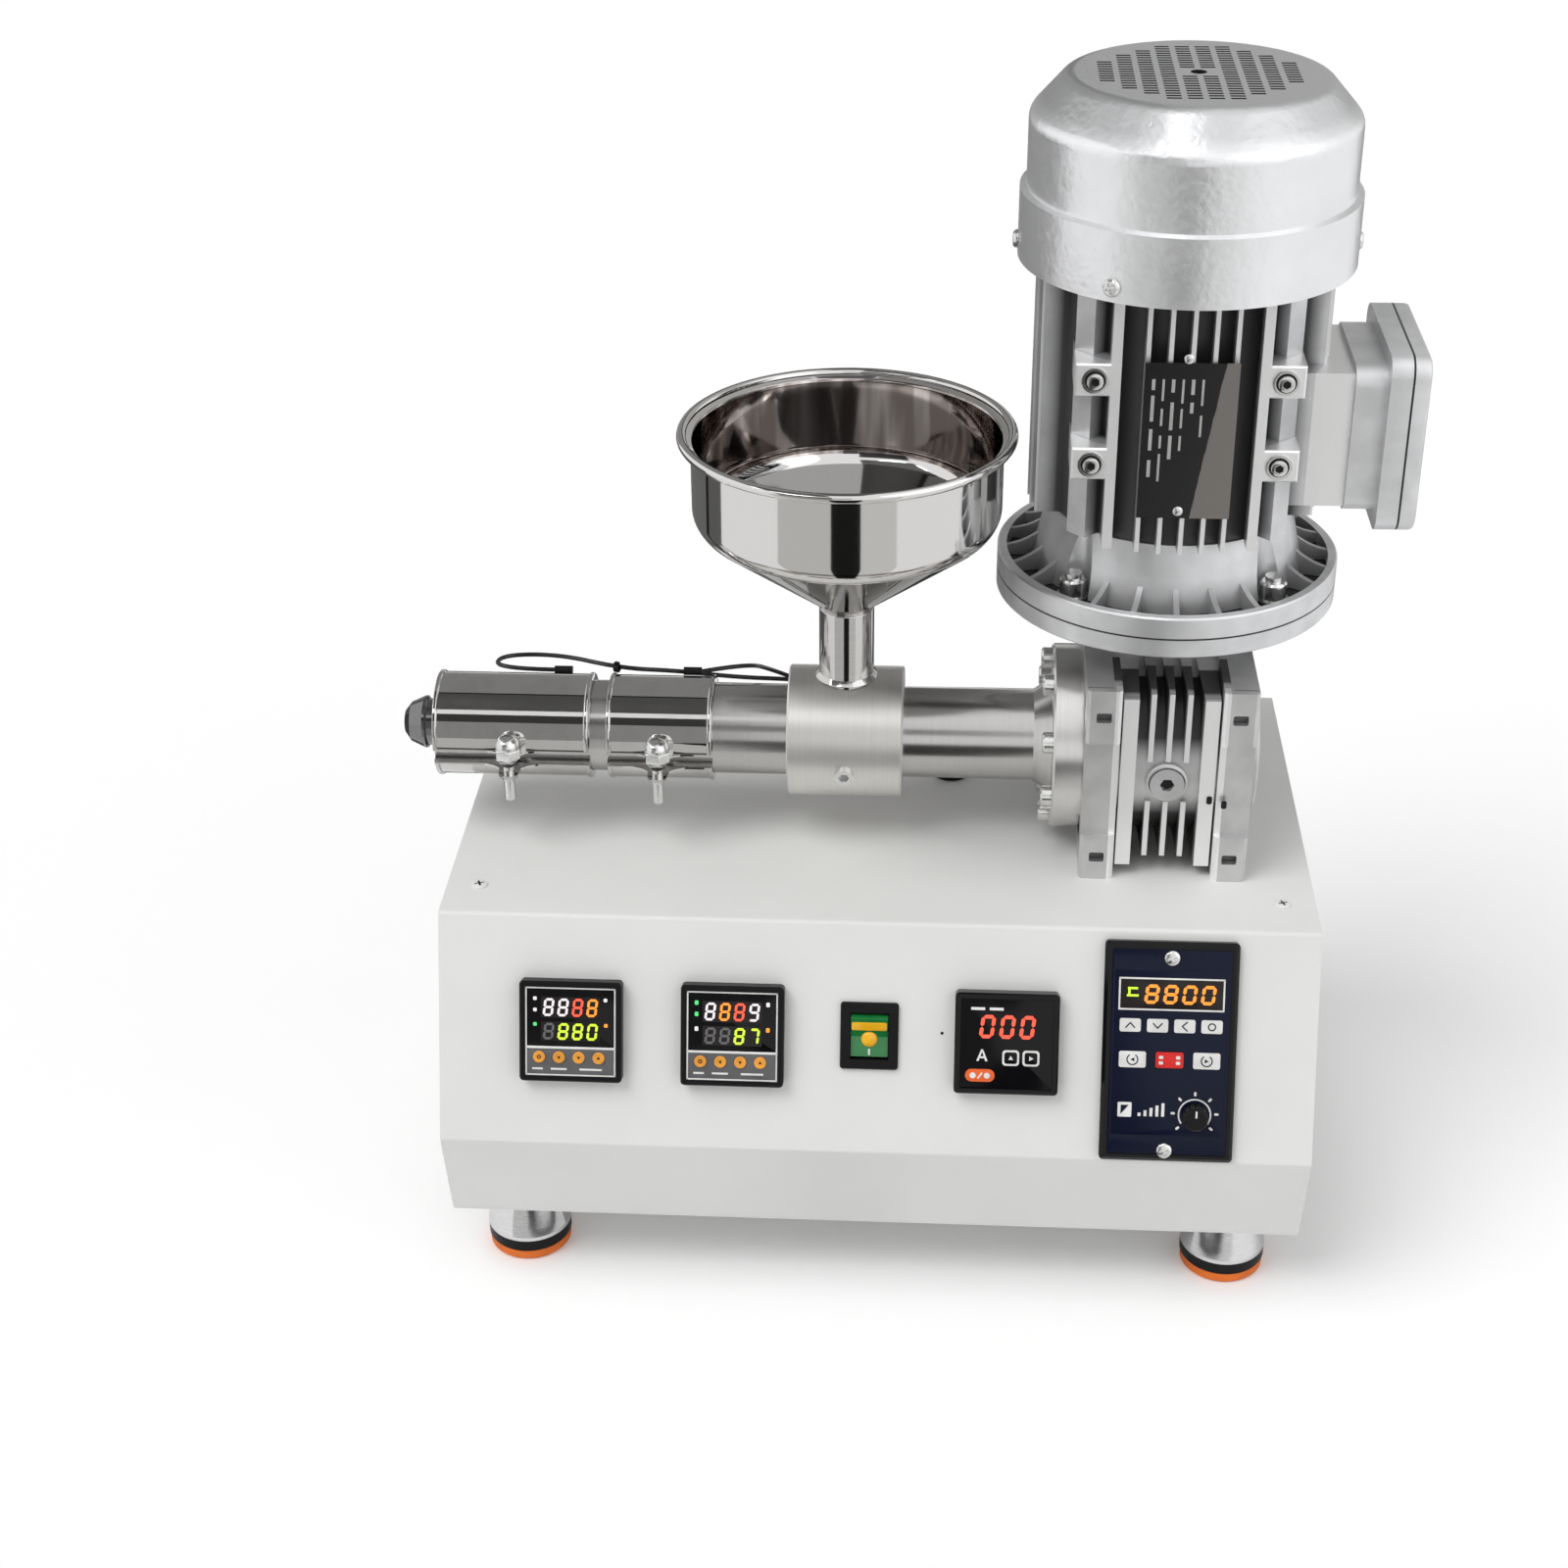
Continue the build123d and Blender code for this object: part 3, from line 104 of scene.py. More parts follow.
# Shapes, each a bmesh of its own
def soften(shape, geometry, size, steps=2, affect="EDGES"):
    """Round some edges or corners of a shape."""
    bmesh.ops.bevel(shape, geom=list(geometry), offset=size, segments=steps, profile=0.5,
                    affect=affect, material=-1)


def upper(shape, height):
    """Edges round a shape's top."""
    return [e for e in shape.edges if min(v.co.z for v in e.verts) > height * 0.99]


def brick(x, y, z, edge=0.0):
    """Block about its centre, with rounded edges."""
    shape = bmesh.new()
    bmesh.ops.create_cube(shape, size=1.0)
    bmesh.ops.scale(shape, vec=(x, y, z), verts=shape.verts)
    if edge:
        soften(shape, shape.edges, edge)
    return shape


def slab(x, y, z, corner, edge=0.0, steps=4):
    """Plate that stands on its base, with round corners and a softened top."""
    shape = bmesh.new()
    bmesh.ops.create_cube(shape, size=1.0, matrix=at(0, 0, 0.5))
    bmesh.ops.scale(shape, vec=(x, y, z), verts=shape.verts)
    upright = [e for e in shape.edges if abs(e.verts[0].co.z - e.verts[1].co.z) > z / 2]
    soften(shape, upright, corner, steps)
    if edge:
        soften(shape, upper(shape, z), edge)
    return shape


def rod(radius, height, edge=0.0, sides=40):
    """Round bar that stands on its base."""
    shape = bmesh.new()
    bmesh.ops.create_cone(shape, cap_ends=True, segments=sides, radius1=radius, radius2=radius,
                          depth=height, matrix=at(0, 0, height / 2))
    if edge:
        soften(shape, upper(shape, height), edge)
    return shape


def prism(points, height):
    """Flat outline drawn up from its base."""
    shape = bmesh.new()
    face = shape.faces.new([shape.verts.new((x, y, 0)) for x, y in points])
    drawn = bmesh.ops.extrude_face_region(shape, geom=[face])["geom"]
    top = [g for g in drawn if isinstance(g, bmesh.types.BMVert)]
    bmesh.ops.translate(shape, vec=(0, 0, height), verts=top)
    bmesh.ops.recalc_face_normals(shape, faces=shape.faces)
    return shape


def turned(outline, soft=(), sides=72, angle=360.0, steps=5):
    """Closed outline of radius and height, spun about Z, with some of its corners rounded."""
    shape = bmesh.new()
    verts = [shape.verts.new((r, 0, z)) for r, z in outline]
    shape.faces.new(verts)
    for index, size in soft:
        soften(shape, [verts[index]], size, steps, "VERTICES")
    whole = angle == 360.0
    if whole:
        bmesh.ops.delete(shape, geom=shape.faces[:], context="FACES_ONLY")
    bmesh.ops.spin(shape, geom=shape.verts[:] + shape.edges[:] + shape.faces[:], cent=(0, 0, 0),
                   axis=(0, 0, 1), angle=radians(angle), steps=sides, use_merge=whole)
    bmesh.ops.remove_doubles(shape, verts=shape.verts, dist=1e-4)
    bmesh.ops.dissolve_degenerate(shape, edges=shape.edges, dist=1e-4)
    bmesh.ops.recalc_face_normals(shape, faces=shape.faces)
    return shape


def ring(inside, outside, height, sides=24, angle=360.0):
    """Flat washer that stands on its base, or a part of one."""
    outline = [(inside, 0), (outside, 0), (outside, height), (inside, height)]
    return turned(outline, sides=sides, angle=angle)


def ball(radius, flat=1.0):
    """Sphere, pressed along Z."""
    shape = bmesh.new()
    bmesh.ops.create_uvsphere(shape, u_segments=32, v_segments=16, radius=radius)
    bmesh.ops.scale(shape, vec=(1, 1, flat), verts=shape.verts)
    return shape


def mesh_of(shape, name):
    """Mesh made of a shape, which is used up."""
    mesh = bpy.data.meshes.new(name)
    shape.to_mesh(mesh)
    shape.free()
    return mesh


def new_object(name, data):
    """Object in the scene."""
    made = bpy.data.objects.new(name, data)
    bpy.context.scene.collection.objects.link(made)
    return made


class Piece:
    """A piece under way: shapes are added to it and cut from it, then it rides on a body."""

    def __init__(self, name, finish, slot=None, body="machine"):
        self.name, self.finish, self.body = name, finish, body
        self.slot = slot or finishes()[finish][1]
        self.solid, self.cutters = bmesh.new(), bmesh.new()

    def _join(self, target, shape, place):
        bmesh.ops.transform(shape, matrix=place, verts=shape.verts)
        if place.to_3x3().determinant() < 0:
            bmesh.ops.reverse_faces(shape, faces=shape.faces)
        mesh = mesh_of(shape, "join")
        target.from_mesh(mesh)
        bpy.data.meshes.remove(mesh)

    def add(self, shape, place=Matrix()):
        self._join(self.solid, shape, place)
        return self

    def cut(self, shape, place=Matrix()):
        self._join(self.cutters, shape, place)
        return self

    def done(self, replaces=()):
        """Turn the shapes into an object in the shared frame."""
        bmesh.ops.recalc_face_normals(self.solid, faces=self.solid.faces)
        made = new_object(self.name, mesh_of(self.solid, self.name))
        if self.cutters.verts:
            cutter = new_object("cutter", mesh_of(self.cutters, "cutter"))
            carve = made.modifiers.new("carve", "BOOLEAN")
            carve.operation, carve.solver = "DIFFERENCE", "EXACT"
            carve.object, carve.use_self = cutter, True
            depsgraph = bpy.context.evaluated_depsgraph_get()
            carved = bpy.data.meshes.new_from_object(made.evaluated_get(depsgraph))
            made.modifiers.clear()
            made.data = carved
            bpy.data.objects.remove(cutter)
        made.data.name = self.name
        made.data.transform(TO_ROW)
        made.data.shade_smooth()
        made.data.set_sharp_from_angle(angle=SHARP_FROM)
        made.data.materials.clear()
        made.data.materials.append(finish(self.finish))
        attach(made, self.body)
        if replaces:
            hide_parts(*replaces)
        return made


# Shader maths
PREFIX = "extruder_"


class Value:
    """A number that varies over a surface. Python's operators on it add Math nodes."""

    def __init__(self, paint, socket):
        self.paint, self.socket = paint, socket

    def maths(self, operation, *numbers, clamp=False):
        settings = {"operation": operation, "use_clamp": clamp}
        return self.paint.value("ShaderNodeMath", settings, dict(enumerate(numbers)))

    def __add__(self, other):
        return self.maths("ADD", self, other)

    __radd__ = __add__

    def __sub__(self, other):
        return self.maths("SUBTRACT", self, other)

    def __rsub__(self, other):
        return self.maths("SUBTRACT", other, self)

    def __mul__(self, other):
        return self.maths("MULTIPLY", self, other)

    __rmul__ = __mul__

    def __gt__(self, other):
        return self.maths("GREATER_THAN", self, other)

    def __lt__(self, other):
        return self.maths("LESS_THAN", self, other)

    def clamped(self):
        return self.maths("ADD", self, 0.0, clamp=True)

    def size(self):
        return self.maths("ABSOLUTE", self)


class Paint:
    """A material under way, on Object coordinates, which are metres."""

    def __init__(self, name):
        self.material = bpy.data.materials.new(PREFIX + name)
        self.material.use_nodes = True
        self.tree = self.material.node_tree
        self.shader = self.tree.nodes["Principled BSDF"]
        self.place = self.node("ShaderNodeTexCoord", {}, {}).outputs["Object"]

    def node(self, kind, settings, sockets):
        """One node: its settings first, then the values and links of its sockets."""
        made = self.tree.nodes.new(kind)
        for key, value in settings.items():
            setattr(made, key, value)
        for key, value in sockets.items():
            self.feed(made.inputs[key], value)
        return made

    def feed(self, socket, value):
        if isinstance(value, Value):
            value = value.socket
        if isinstance(value, bpy.types.NodeSocket):
            self.tree.links.new(value, socket)
        else:
            socket.default_value = value

    def value(self, kind, settings, sockets, output=0):
        return Value(self, self.node(kind, settings, sockets).outputs[output])

    def stretched(self, x, y, z):
        """Place, with each axis stretched, for grain that runs one way."""
        multiply = {"operation": "MULTIPLY"}
        return self.node("ShaderNodeVectorMath", multiply, {0: self.place, 1: (x, y, z)}).outputs[0]

    def noise(self, size, detail=2.0, rough=0.5, place=None):
        """Noise with features of this size in millimetres."""
        return self.value("ShaderNodeTexNoise", {}, {"Vector": place or self.place, "Scale": 1 / MM / size,
                                                     "Detail": detail, "Roughness": rough})

    def from_axis(self, x, y):
        """Distance from an upright axis, in millimetres."""
        centre = tuple((Vector((x, y, 0)) + SHIFT) * MM)
        return 1 / MM * self.value("ShaderNodeVectorMath", {"operation": "DISTANCE"},
                                   {0: self.stretched(1.0, 1.0, 0.0), 1: centre}, "Value")

    def cells(self, size):
        """Soft cells of this size in millimetres."""
        return self.value("ShaderNodeTexVoronoi", {"feature": "SMOOTH_F1"},
                          {"Vector": self.place, "Scale": 1 / MM / size})

    def along(self, axis):
        """Place along one axis, in millimetres, as the sizes here are."""
        number = "XYZ".index(axis)
        return 1 / MM * self.value("ShaderNodeSeparateXYZ", {}, {0: self.place}, number) - SHIFT[number]

    def mix(self, share, low, high):
        """Colour between two, by a share. The node's colour inputs are numbers 6 and 7, its output 2."""
        low, high = ((*c, 1.0) if isinstance(c, tuple) else c for c in (low, high))
        return self.node("ShaderNodeMix", {"data_type": "RGBA"}, {0: share, 6: low, 7: high}).outputs[2]

    def ramp(self, share, low, high):
        """Share stretched so that low becomes 0 and high becomes 1."""
        return self.value("ShaderNodeMapRange", {}, {0: share, 1: low, 2: high, 3: 0.0, 4: 1.0})

    def bump(self, height, depth, strength=1.0, under=None):
        """Normal from a height, its depth in millimetres."""
        sockets = {"Height": height, "Distance": depth * MM, "Strength": strength}
        if under is not None:
            sockets["Normal"] = under
        return self.node("ShaderNodeBump", {}, sockets).outputs[0]

    def done(self, **sockets):
        for key, value in sockets.items():
            self.feed(self.shader.inputs[key.replace("_", " ")], value)
        return self.material


def shade(colour, factor):
    return tuple(channel * factor for channel in colour)


def painted(name, colour, rough, grain, depth):
    """Sprayed paint with its orange peel and a faint unevenness."""
    paint = Paint(name)
    uneven = paint.ramp(paint.noise(38, 3), 0.35, 0.7)
    peel = paint.noise(grain, 2)
    return paint.done(Base_Color=paint.mix(uneven, shade(colour, 0.975), colour),
                      Roughness=rough - 0.05 + 0.12 * paint.noise(6, 3), Normal=paint.bump(peel, depth))


def cast(name, colour, rough, metal, grain, depth, roots=None, shade_and_seam_tone=0.0):
    """Blasted casting: pitted skin, darker in patches, with painted shade in its roots and hollows, dark
    seams, and a painted highlight on its edges.
    """
    paint = Paint(name)
    skin = paint.noise(grain, 4, 0.65)
    patch = paint.ramp(paint.noise(16, 4), 0.38, 0.66)
    tone = paint.mix(patch, shade(colour, 0.86), colour)
    if roots:
        root, edge = roots(paint)
        # Painted shade in the roots and hollows; the dark seams take the same tone
        tone = paint.mix(root, tone, (shade_and_seam_tone, shade_and_seam_tone, shade_and_seam_tone))
        metal = metal - metal * root
        # Painted highlight on the edges
        if edge:
            tone = paint.mix(edge, tone, (0.93, 0.93, 0.93))
    return paint.done(Base_Color=tone, Metallic=metal, Roughness=rough - 0.08 + 0.2 * skin,
                      Normal=paint.bump(skin, depth))


def fin_shade_and_highlight(paint):
    """Painted shade at the roots of the motor's fins and a painted highlight on their tips, by the distance
    from its axis.
    """
    reach = paint.from_axis(MOTOR_X, MOTOR_Y)
    root_end, root_full, tip_start, tip_full = 65.0, 58.0, 65.9, 66.6
    return paint.ramp(reach, root_end, root_full), paint.ramp(reach, tip_start, tip_full)


def shield_shade_and_seam(paint):
    """Painted shade on the floor of the end shield inside its rim, and the dark seam between the two flanges.
    """
    height = paint.along("Z")
    rim_in, seam_z, floor_z, ribs_top = 75.7, 316.0, 320.9, 336.0
    inside = (paint.from_axis(MOTOR_X, MOTOR_Y) < rim_in) * (height > seam_z + 0.6)
    seam = (height - seam_z).size() < 0.45
    # Painted shade, deeper towards the floor between the ribs
    depth = 0.5 * paint.ramp(height, ribs_top, 322.0) + (height < floor_z)
    return (inside * depth + seam).clamped(), None


def under_lid(paint):
    """Seam under the terminal box's lid, where its gasket is."""
    seam_x = 233.45
    return (paint.along("X") - seam_x).size() < 0.5, None


def gearbox_shade_and_highlight(paint):
    """Painted shade deep behind the gearbox's bars and on the floors of its pockets, and a painted highlight
    on the fronts of its fins.
    """
    back, aside = paint.along("Y"), (paint.along("X") - MOTOR_X).size()
    gaps_half, gaps_back, fins_front = 26.5, 78.0, 49.4
    # Painted shade in the gaps behind the bars and on the floors of the pockets
    gaps = (aside < gaps_half) * (back < gaps_back) * paint.ramp(back, fins_front + 0.4, 55.0)
    pockets = (aside > 27.5) * (aside < 38.6) * (back > 46.5) * (back < 47.4)
    # Painted highlight on the fronts of the fins
    fronts = (aside < gaps_half - 0.5) * paint.ramp(back, fins_front, fins_front - 0.5)
    return (gaps * 0.97 + 0.8 * pockets).clamped(), fronts


def machined(name, colour, rough, grain, depth, spread):
    """Turned or brushed metal: fine lines, stretched along the two axes with a small factor."""
    paint = Paint(name)
    lines = paint.noise(1.0, 3, 0.6, paint.stretched(*grain))
    tone = paint.mix(paint.ramp(lines, 0.3, 0.7), shade(colour, 0.86), colour)
    return paint.done(Base_Color=tone, Metallic=1.0, Normal=paint.bump(lines, depth),
                      Roughness=rough - spread / 2 + spread * paint.noise(14, 3))


def moulded(name, colour, rough, grain, depth, coat=0.0, shine=0.4):
    """Moulded plastic or rubber with a fine grain."""
    paint = Paint(name)
    uneven = paint.ramp(paint.noise(9, 2), 0.3, 0.7)
    return paint.done(Base_Color=paint.mix(uneven, shade(colour, 0.8), colour),
                      Roughness=rough - 0.04 + 0.08 * paint.noise(4, 2), Coat_Weight=coat,
                      Coat_Roughness=0.05, Specular_IOR_Level=shine,
                      Normal=paint.bump(paint.noise(grain, 3), depth))


def glowing(name, colour, strength):
    """Lit segment behind a window, a little uneven."""
    paint = Paint(name)
    lit = paint.mix(paint.noise(1.5, 1), shade(colour, 0.8), colour)
    return paint.done(Base_Color=(*shade(colour, 0.5), 1.0), Roughness=0.35, Emission_Color=lit,
                      Emission_Strength=strength)


def hammered(name, colour):
    """Silver lacquer of the fan cover, which has wrinkled on the drum. Painted light makes the drum lighter
    than the motor's silver; painted shade darkens its shoulder and crown and fills its slots.
    """
    paint = Paint(name)
    slots_r, crown_z, drum_top = 50.5, 551.4, 534.0
    height = paint.along("Z")
    wrinkle = paint.noise(5.5, 4, 0.6)
    soft = paint.bump(paint.cells(3.4) * 0.5 + wrinkle, 0.4, 0.6)
    # Painted shade: the walls of the slots are nearly black and dull
    slots = (paint.from_axis(MOTOR_X, MOTOR_Y) < slots_r) * (height < crown_z)
    shoulder = paint.ramp(height, drum_top, drum_top + 7.0).clamped()
    uneven = paint.ramp(paint.noise(30, 3), 0.35, 0.7)
    # Painted light: the drum is lighter than the motor's silver
    skin = paint.mix(uneven, shade(colour, 1.14), shade(colour, 1.22))
    # Painted shade on the shoulder and the crown
    skin = paint.mix(shoulder, skin, shade(colour, 0.82))
    return paint.done(Base_Color=paint.mix(slots, skin, (0.004, 0.004, 0.004)),
                      Metallic=0.84 - 0.84 * slots, Roughness=0.28 + 0.1 * wrinkle + 0.6 * slots,
                      Normal=paint.bump(paint.noise(0.7, 2), 0.01, 1.0, soft))


def plate_foil(name):
    """Printed foil of the motor's plate: black, with a bare grey part that slants across its right side."""
    paint = Paint(name)
    centre = middle("motor_nameplate")
    aside, height = paint.along("X") - centre.x, paint.along("Z") - centre.z
    edge = aside - 9.5 - 0.16 * height + 1.4 * paint.noise(7, 3)
    bare = paint.ramp(edge, -0.25, 0.25).clamped()
    grain = paint.noise(1.0, 2, 0.5, paint.stretched(0.05, 1.0, 2.5))
    return paint.done(Base_Color=paint.mix(bare, (0.006, 0.006, 0.007), (0.27, 0.25, 0.235)),
                      Metallic=0.85 * bare, Roughness=0.2 + 0.15 * bare + 0.05 * grain,
                      Normal=paint.bump(grain, 0.01))


def mirror(name, colour, wave, depth):
    """Polished steel sheet: slow waves, and a haze in patches."""
    paint = Paint(name)
    haze = paint.ramp(paint.noise(11, 4, 0.6), 0.45, 0.75)
    return paint.done(Base_Color=paint.mix(haze, colour, shade(colour, 0.9)), Metallic=1.0,
                      Roughness=0.035 + 0.05 * haze, Normal=paint.bump(paint.noise(wave, 2), depth))


def hopper_steel(name, colour):
    """Spun bowl: bright outside, with painted reflections inside, darker and streaked, and painted shade
    under the cone.
    """
    paint = Paint(name)
    reach, height = paint.from_axis(HOPPER_X, BARREL_Y), paint.along("Z")
    bowl_in, bowl_low, bowl_high, spout_r, cone_taper = 70.9, 359.0, 397.0, 13.0, 0.76
    streaks = paint.ramp(paint.noise(9, 2, 0.5, paint.stretched(1.0, 1.0, 0.12)), 0.42, 0.66)
    inside = (reach < bowl_in) * (height > bowl_low) * (height < bowl_high)
    # Painted shade on the underside of the cone
    cone = paint.ramp(height - cone_taper * reach, 305.5, 304.6)
    under = (reach > spout_r) * (reach < 66.0) * cone
    lines = paint.noise(1.0, 3, 0.6, paint.stretched(0.1, 0.1, 5.0))
    # Painted reflections: darker streaks inside the bowl
    streaked = paint.mix(streaks, (0.30, 0.265, 0.25), (0.62, 0.58, 0.56))
    tone = paint.mix(inside, shade(colour, 1.08), streaked)
    return paint.done(Base_Color=paint.mix(under, tone, (0.30, 0.29, 0.285)), Metallic=1.0,
                      Roughness=0.04 + 0.05 * lines, Normal=paint.bump(lines, 0.001))


# Grain of turned metal: how fine it is along each axis, so that its lines run round Z or round X
ROUND_Z, FINE_ROUND_Z = (0.2, 0.2, 2.0), (0.1, 0.1, 5.0)
ROUND_X, FINE_ROUND_X = (4.0, 0.2, 0.2), (8.0, 0.02, 0.02)


def finishes():
    """Each finish: its maker, the record's slot that it belongs to, and the maker's values."""
    settings = bpy.context.scene.extruder_finishes
    cabinet, silver, steel = (tuple(c) for c in (settings.cabinet, settings.silver, settings.steel))
    return {
        "cabinet_paint": (painted, "cabinet_paint", cabinet, 0.46, 0.9, 0.02),
        "chrome": (machined, "chrome", (0.80, 0.80, 0.81), 0.10, ROUND_Z, 0.002, 0.05),
        "black_plastic": (moulded, "black_plastic", (0.008, 0.008, 0.009), 0.36, 0.5, 0.02, 0.0, 0.16),
        "orange_rubber": (moulded, "orange_rubber", (0.86, 0.19, 0.02), 0.6, 0.8, 0.05),
        "gloss_black": (moulded, "gloss_black", (0.004, 0.004, 0.005), 0.14, 0.8, 0.002, 0.0, 0.22),
        "navy_foil": (moulded, "gloss_black", (0.002, 0.005, 0.022), 0.22, 0.6, 0.004, 0.0, 0.2),
        "green_rocker": (moulded, "green_rocker", (0.012, 0.20, 0.045), 0.14, 2.5, 0.02, 0.6),
        "cast_aluminium": (cast, "cast_aluminium", (0.62, 0.62, 0.62), 0.42, 0.8, 1.1, 0.09),
        "fin_paint": (cast, "silver_paint", silver, 0.34, 0.75, 0.8, 0.05, fin_shade_and_highlight, 0.05),
        "flange_paint": (cast, "silver_paint", silver, 0.34, 0.75, 0.8, 0.04, shield_shade_and_seam, 0.02),
        "box_paint": (cast, "silver_paint", silver, 0.36, 0.6, 0.8, 0.05, under_lid, 0.01),
        "gearbox_casting": (cast, "cast_aluminium", (0.66, 0.66, 0.66), 0.34, 0.85, 1.0, 0.08,
                            gearbox_shade_and_highlight, 0.012),
        "hammered_silver": (hammered, "silver_paint", silver),
        "zinc": (machined, "zinc", (0.78, 0.78, 0.77), 0.2, (0.7, 0.7, 0.7), 0.001, 0.05),
        "plate_foil": (plate_foil, "dark_plate"),
        "steel": (machined, "steel", (0.56, 0.56, 0.56), 0.30, (0.2, 0.2, 5.0), 0.012, 0.12),
        "satin_steel": (machined, "satin_steel", shade(steel, 1.1), 0.25, FINE_ROUND_X, 0.002, 0.04),
        # Copies of the satin steel in other tones: painted light on the feed block, painted shade on the
        # tubes
        "block_steel": (machined, "satin_steel", (0.80, 0.785, 0.76), 0.40, FINE_ROUND_X, 0.002, 0.05),
        "tube_steel": (machined, "satin_steel", (0.58, 0.57, 0.56), 0.20, FINE_ROUND_X, 0.002, 0.05),
        "polished_steel": (mirror, "polished_steel", steel, 24, 0.05),
        "hopper_steel": (hopper_steel, "polished_steel", steel),
        "spun_steel": (machined, "polished_steel", steel, 0.085, FINE_ROUND_Z, 0.0015, 0.05),
        "dark_steel": (machined, "dark_steel", (0.24, 0.24, 0.245), 0.15, ROUND_X, 0.002, 0.05),
        "black_lead": (moulded, "black_lead", (0.008, 0.008, 0.009), 0.16, 0.5, 0.01, 0.5),
        # Also the tone of the dark sheets of painted shade in recesses
        "black_screw": (machined, "black_screw", (0.035, 0.035, 0.037), 0.38, (2.0, 2.0, 2.0), 0.006, 0.12),
        "faded_print": (moulded, "dark_plate", (0.42, 0.42, 0.41), 0.5, 0.4, 0.004),
        "white_print": (moulded, "gloss_black", (0.82, 0.82, 0.80), 0.4, 0.4, 0.004),
        "red_key": (moulded, "gloss_black", (0.72, 0.020, 0.015), 0.3, 0.4, 0.004),
        "grey_strip": (moulded, "black_plastic", (0.115, 0.115, 0.12), 0.42, 0.4, 0.01),
        "amber_key": (moulded, "black_plastic", (0.86, 0.36, 0.04), 0.3, 0.4, 0.006),
        "orange_key": (moulded, "gloss_black", (0.85, 0.14, 0.03), 0.3, 0.4, 0.006),
        "amber_lens": (moulded, "green_rocker", (0.92, 0.48, 0.01), 0.14, 2.0, 0.02, 0.5),
        "unlit_segment": (moulded, "gloss_black", (0.15, 0.15, 0.155), 0.3, 0.6, 0.002),
        "display_window": (moulded, "gloss_black", (0.022, 0.018, 0.018), 0.14, 0.6, 0.002, 0.0, 0.2),
        "red_glow": (glowing, "gloss_black", (1.0, 0.10, 0.05), 1.1),
        "orange_glow": (glowing, "gloss_black", (1.0, 0.30, 0.03), 1.1),
        "green_glow": (glowing, "gloss_black", (0.62, 0.92, 0.04), 1.0),
        "white_glow": (glowing, "gloss_black", (0.85, 0.80, 0.82), 0.75),
        "lime_led": (glowing, "gloss_black", (0.10, 0.75, 0.22), 0.8),
    }


def finish(name):
    """Material of a finish, made when it is first needed."""
    maker, _, *values = finishes()[name]
    return bpy.data.materials.get(PREFIX + name) or maker(name, *values)


# Details that several pieces share
SEGMENTS = {"0": "abcdef", "7": "abc", "8": "abcdefg", "9": "abcdfg"}
SEGMENT_PLACES = {"a": (0, 1, 0), "b": (1, 0.5, 90), "c": (1, -0.5, 90), "d": (0, -1, 0), "e": (-1, -0.5, 90),
                  "f": (-1, 0.5, 90), "g": (0, 0, 0)}
LEAN = Matrix(((1, 0.12, 0, 0), (0, 1, 0, 0), (0, 0, 1, 0), (0, 0, 0, 1)))


def digit(piece, figure, place, width, height, thick=1.0):
    """Seven-segment figure, drawn as flat bars that lean to the right."""
    for name in SEGMENTS[figure]:
        across, up, angle = SEGMENT_PLACES[name]
        half, t = ((height / 2 if angle else width) - 0.18 * thick) / 2, thick / 2
        near = half - t
        bar = prism([(-half, 0), (-near, t), (near, t), (half, 0), (near, -t), (-near, -t)], 0.12)
        piece.add(bar, place @ LEAN @ at(across * width / 2, up * height / 2, 0) @ turn(angle))


def cross_screw(piece, place, radius, height):
    """Round head with a cross recess."""
    head = [(0, 0), (radius, 0), (radius, height * 0.45), (radius * 0.72, height * 0.9), (0, height)]
    piece.add(turned(head, [(2, height * 0.3)], 40), place)
    for angle in (20, 110):
        piece.cut(brick(radius * 1.15, radius * 0.26, height), place @ turn(angle) @ at(0, 0, height * 0.95))


# Flags round the barrel's axis: from and to, in degrees over the front horizon, tone, and both ends
BANDS, BLOCK, GEARS = (-1.5, -0.21), (-0.2, 0.12), (0.14, 1.5)
FLAGS = [(-17, 29, 0.30, *BANDS), (29, 46, 0.05, *BANDS), (56, 95, 0.09, *BANDS), (95, 98, 0.01, *BANDS),
         (98, 178, 0.27, *BANDS), (20, 34, 0.2, *BLOCK), (84, 178, 0.12, *BLOCK), (108, 178, 0.46, *GEARS)]
FLAG_R = 1.7
# Flags on the floor round the hopper's axis: from and to, in degrees from the front, start, and tone
FLOOR_FLAGS = [(-9, 12, 0.06, 0.012), (-48, -9, 0.06, 0.58), (12, 38, 0.06, 0.66), (-176, -122, 0.3, 0.15),
               (-122, -118, 0.3, 0.01), (-118, -101, 0.3, 0.12), (138, 176, 0.3, 0.05)]
FLOOR_FLAG_END = 4.0
FLAG_STEPS = 6
# Lamps: where each shines from, how wide it is in degrees, and its strength
LAMPS = {"key_lamp": ((-0.5, -0.35, 0.95), 38, 1.64), "fill_lamp": ((0.85, -0.45, 0.6), 60, 0.42)}


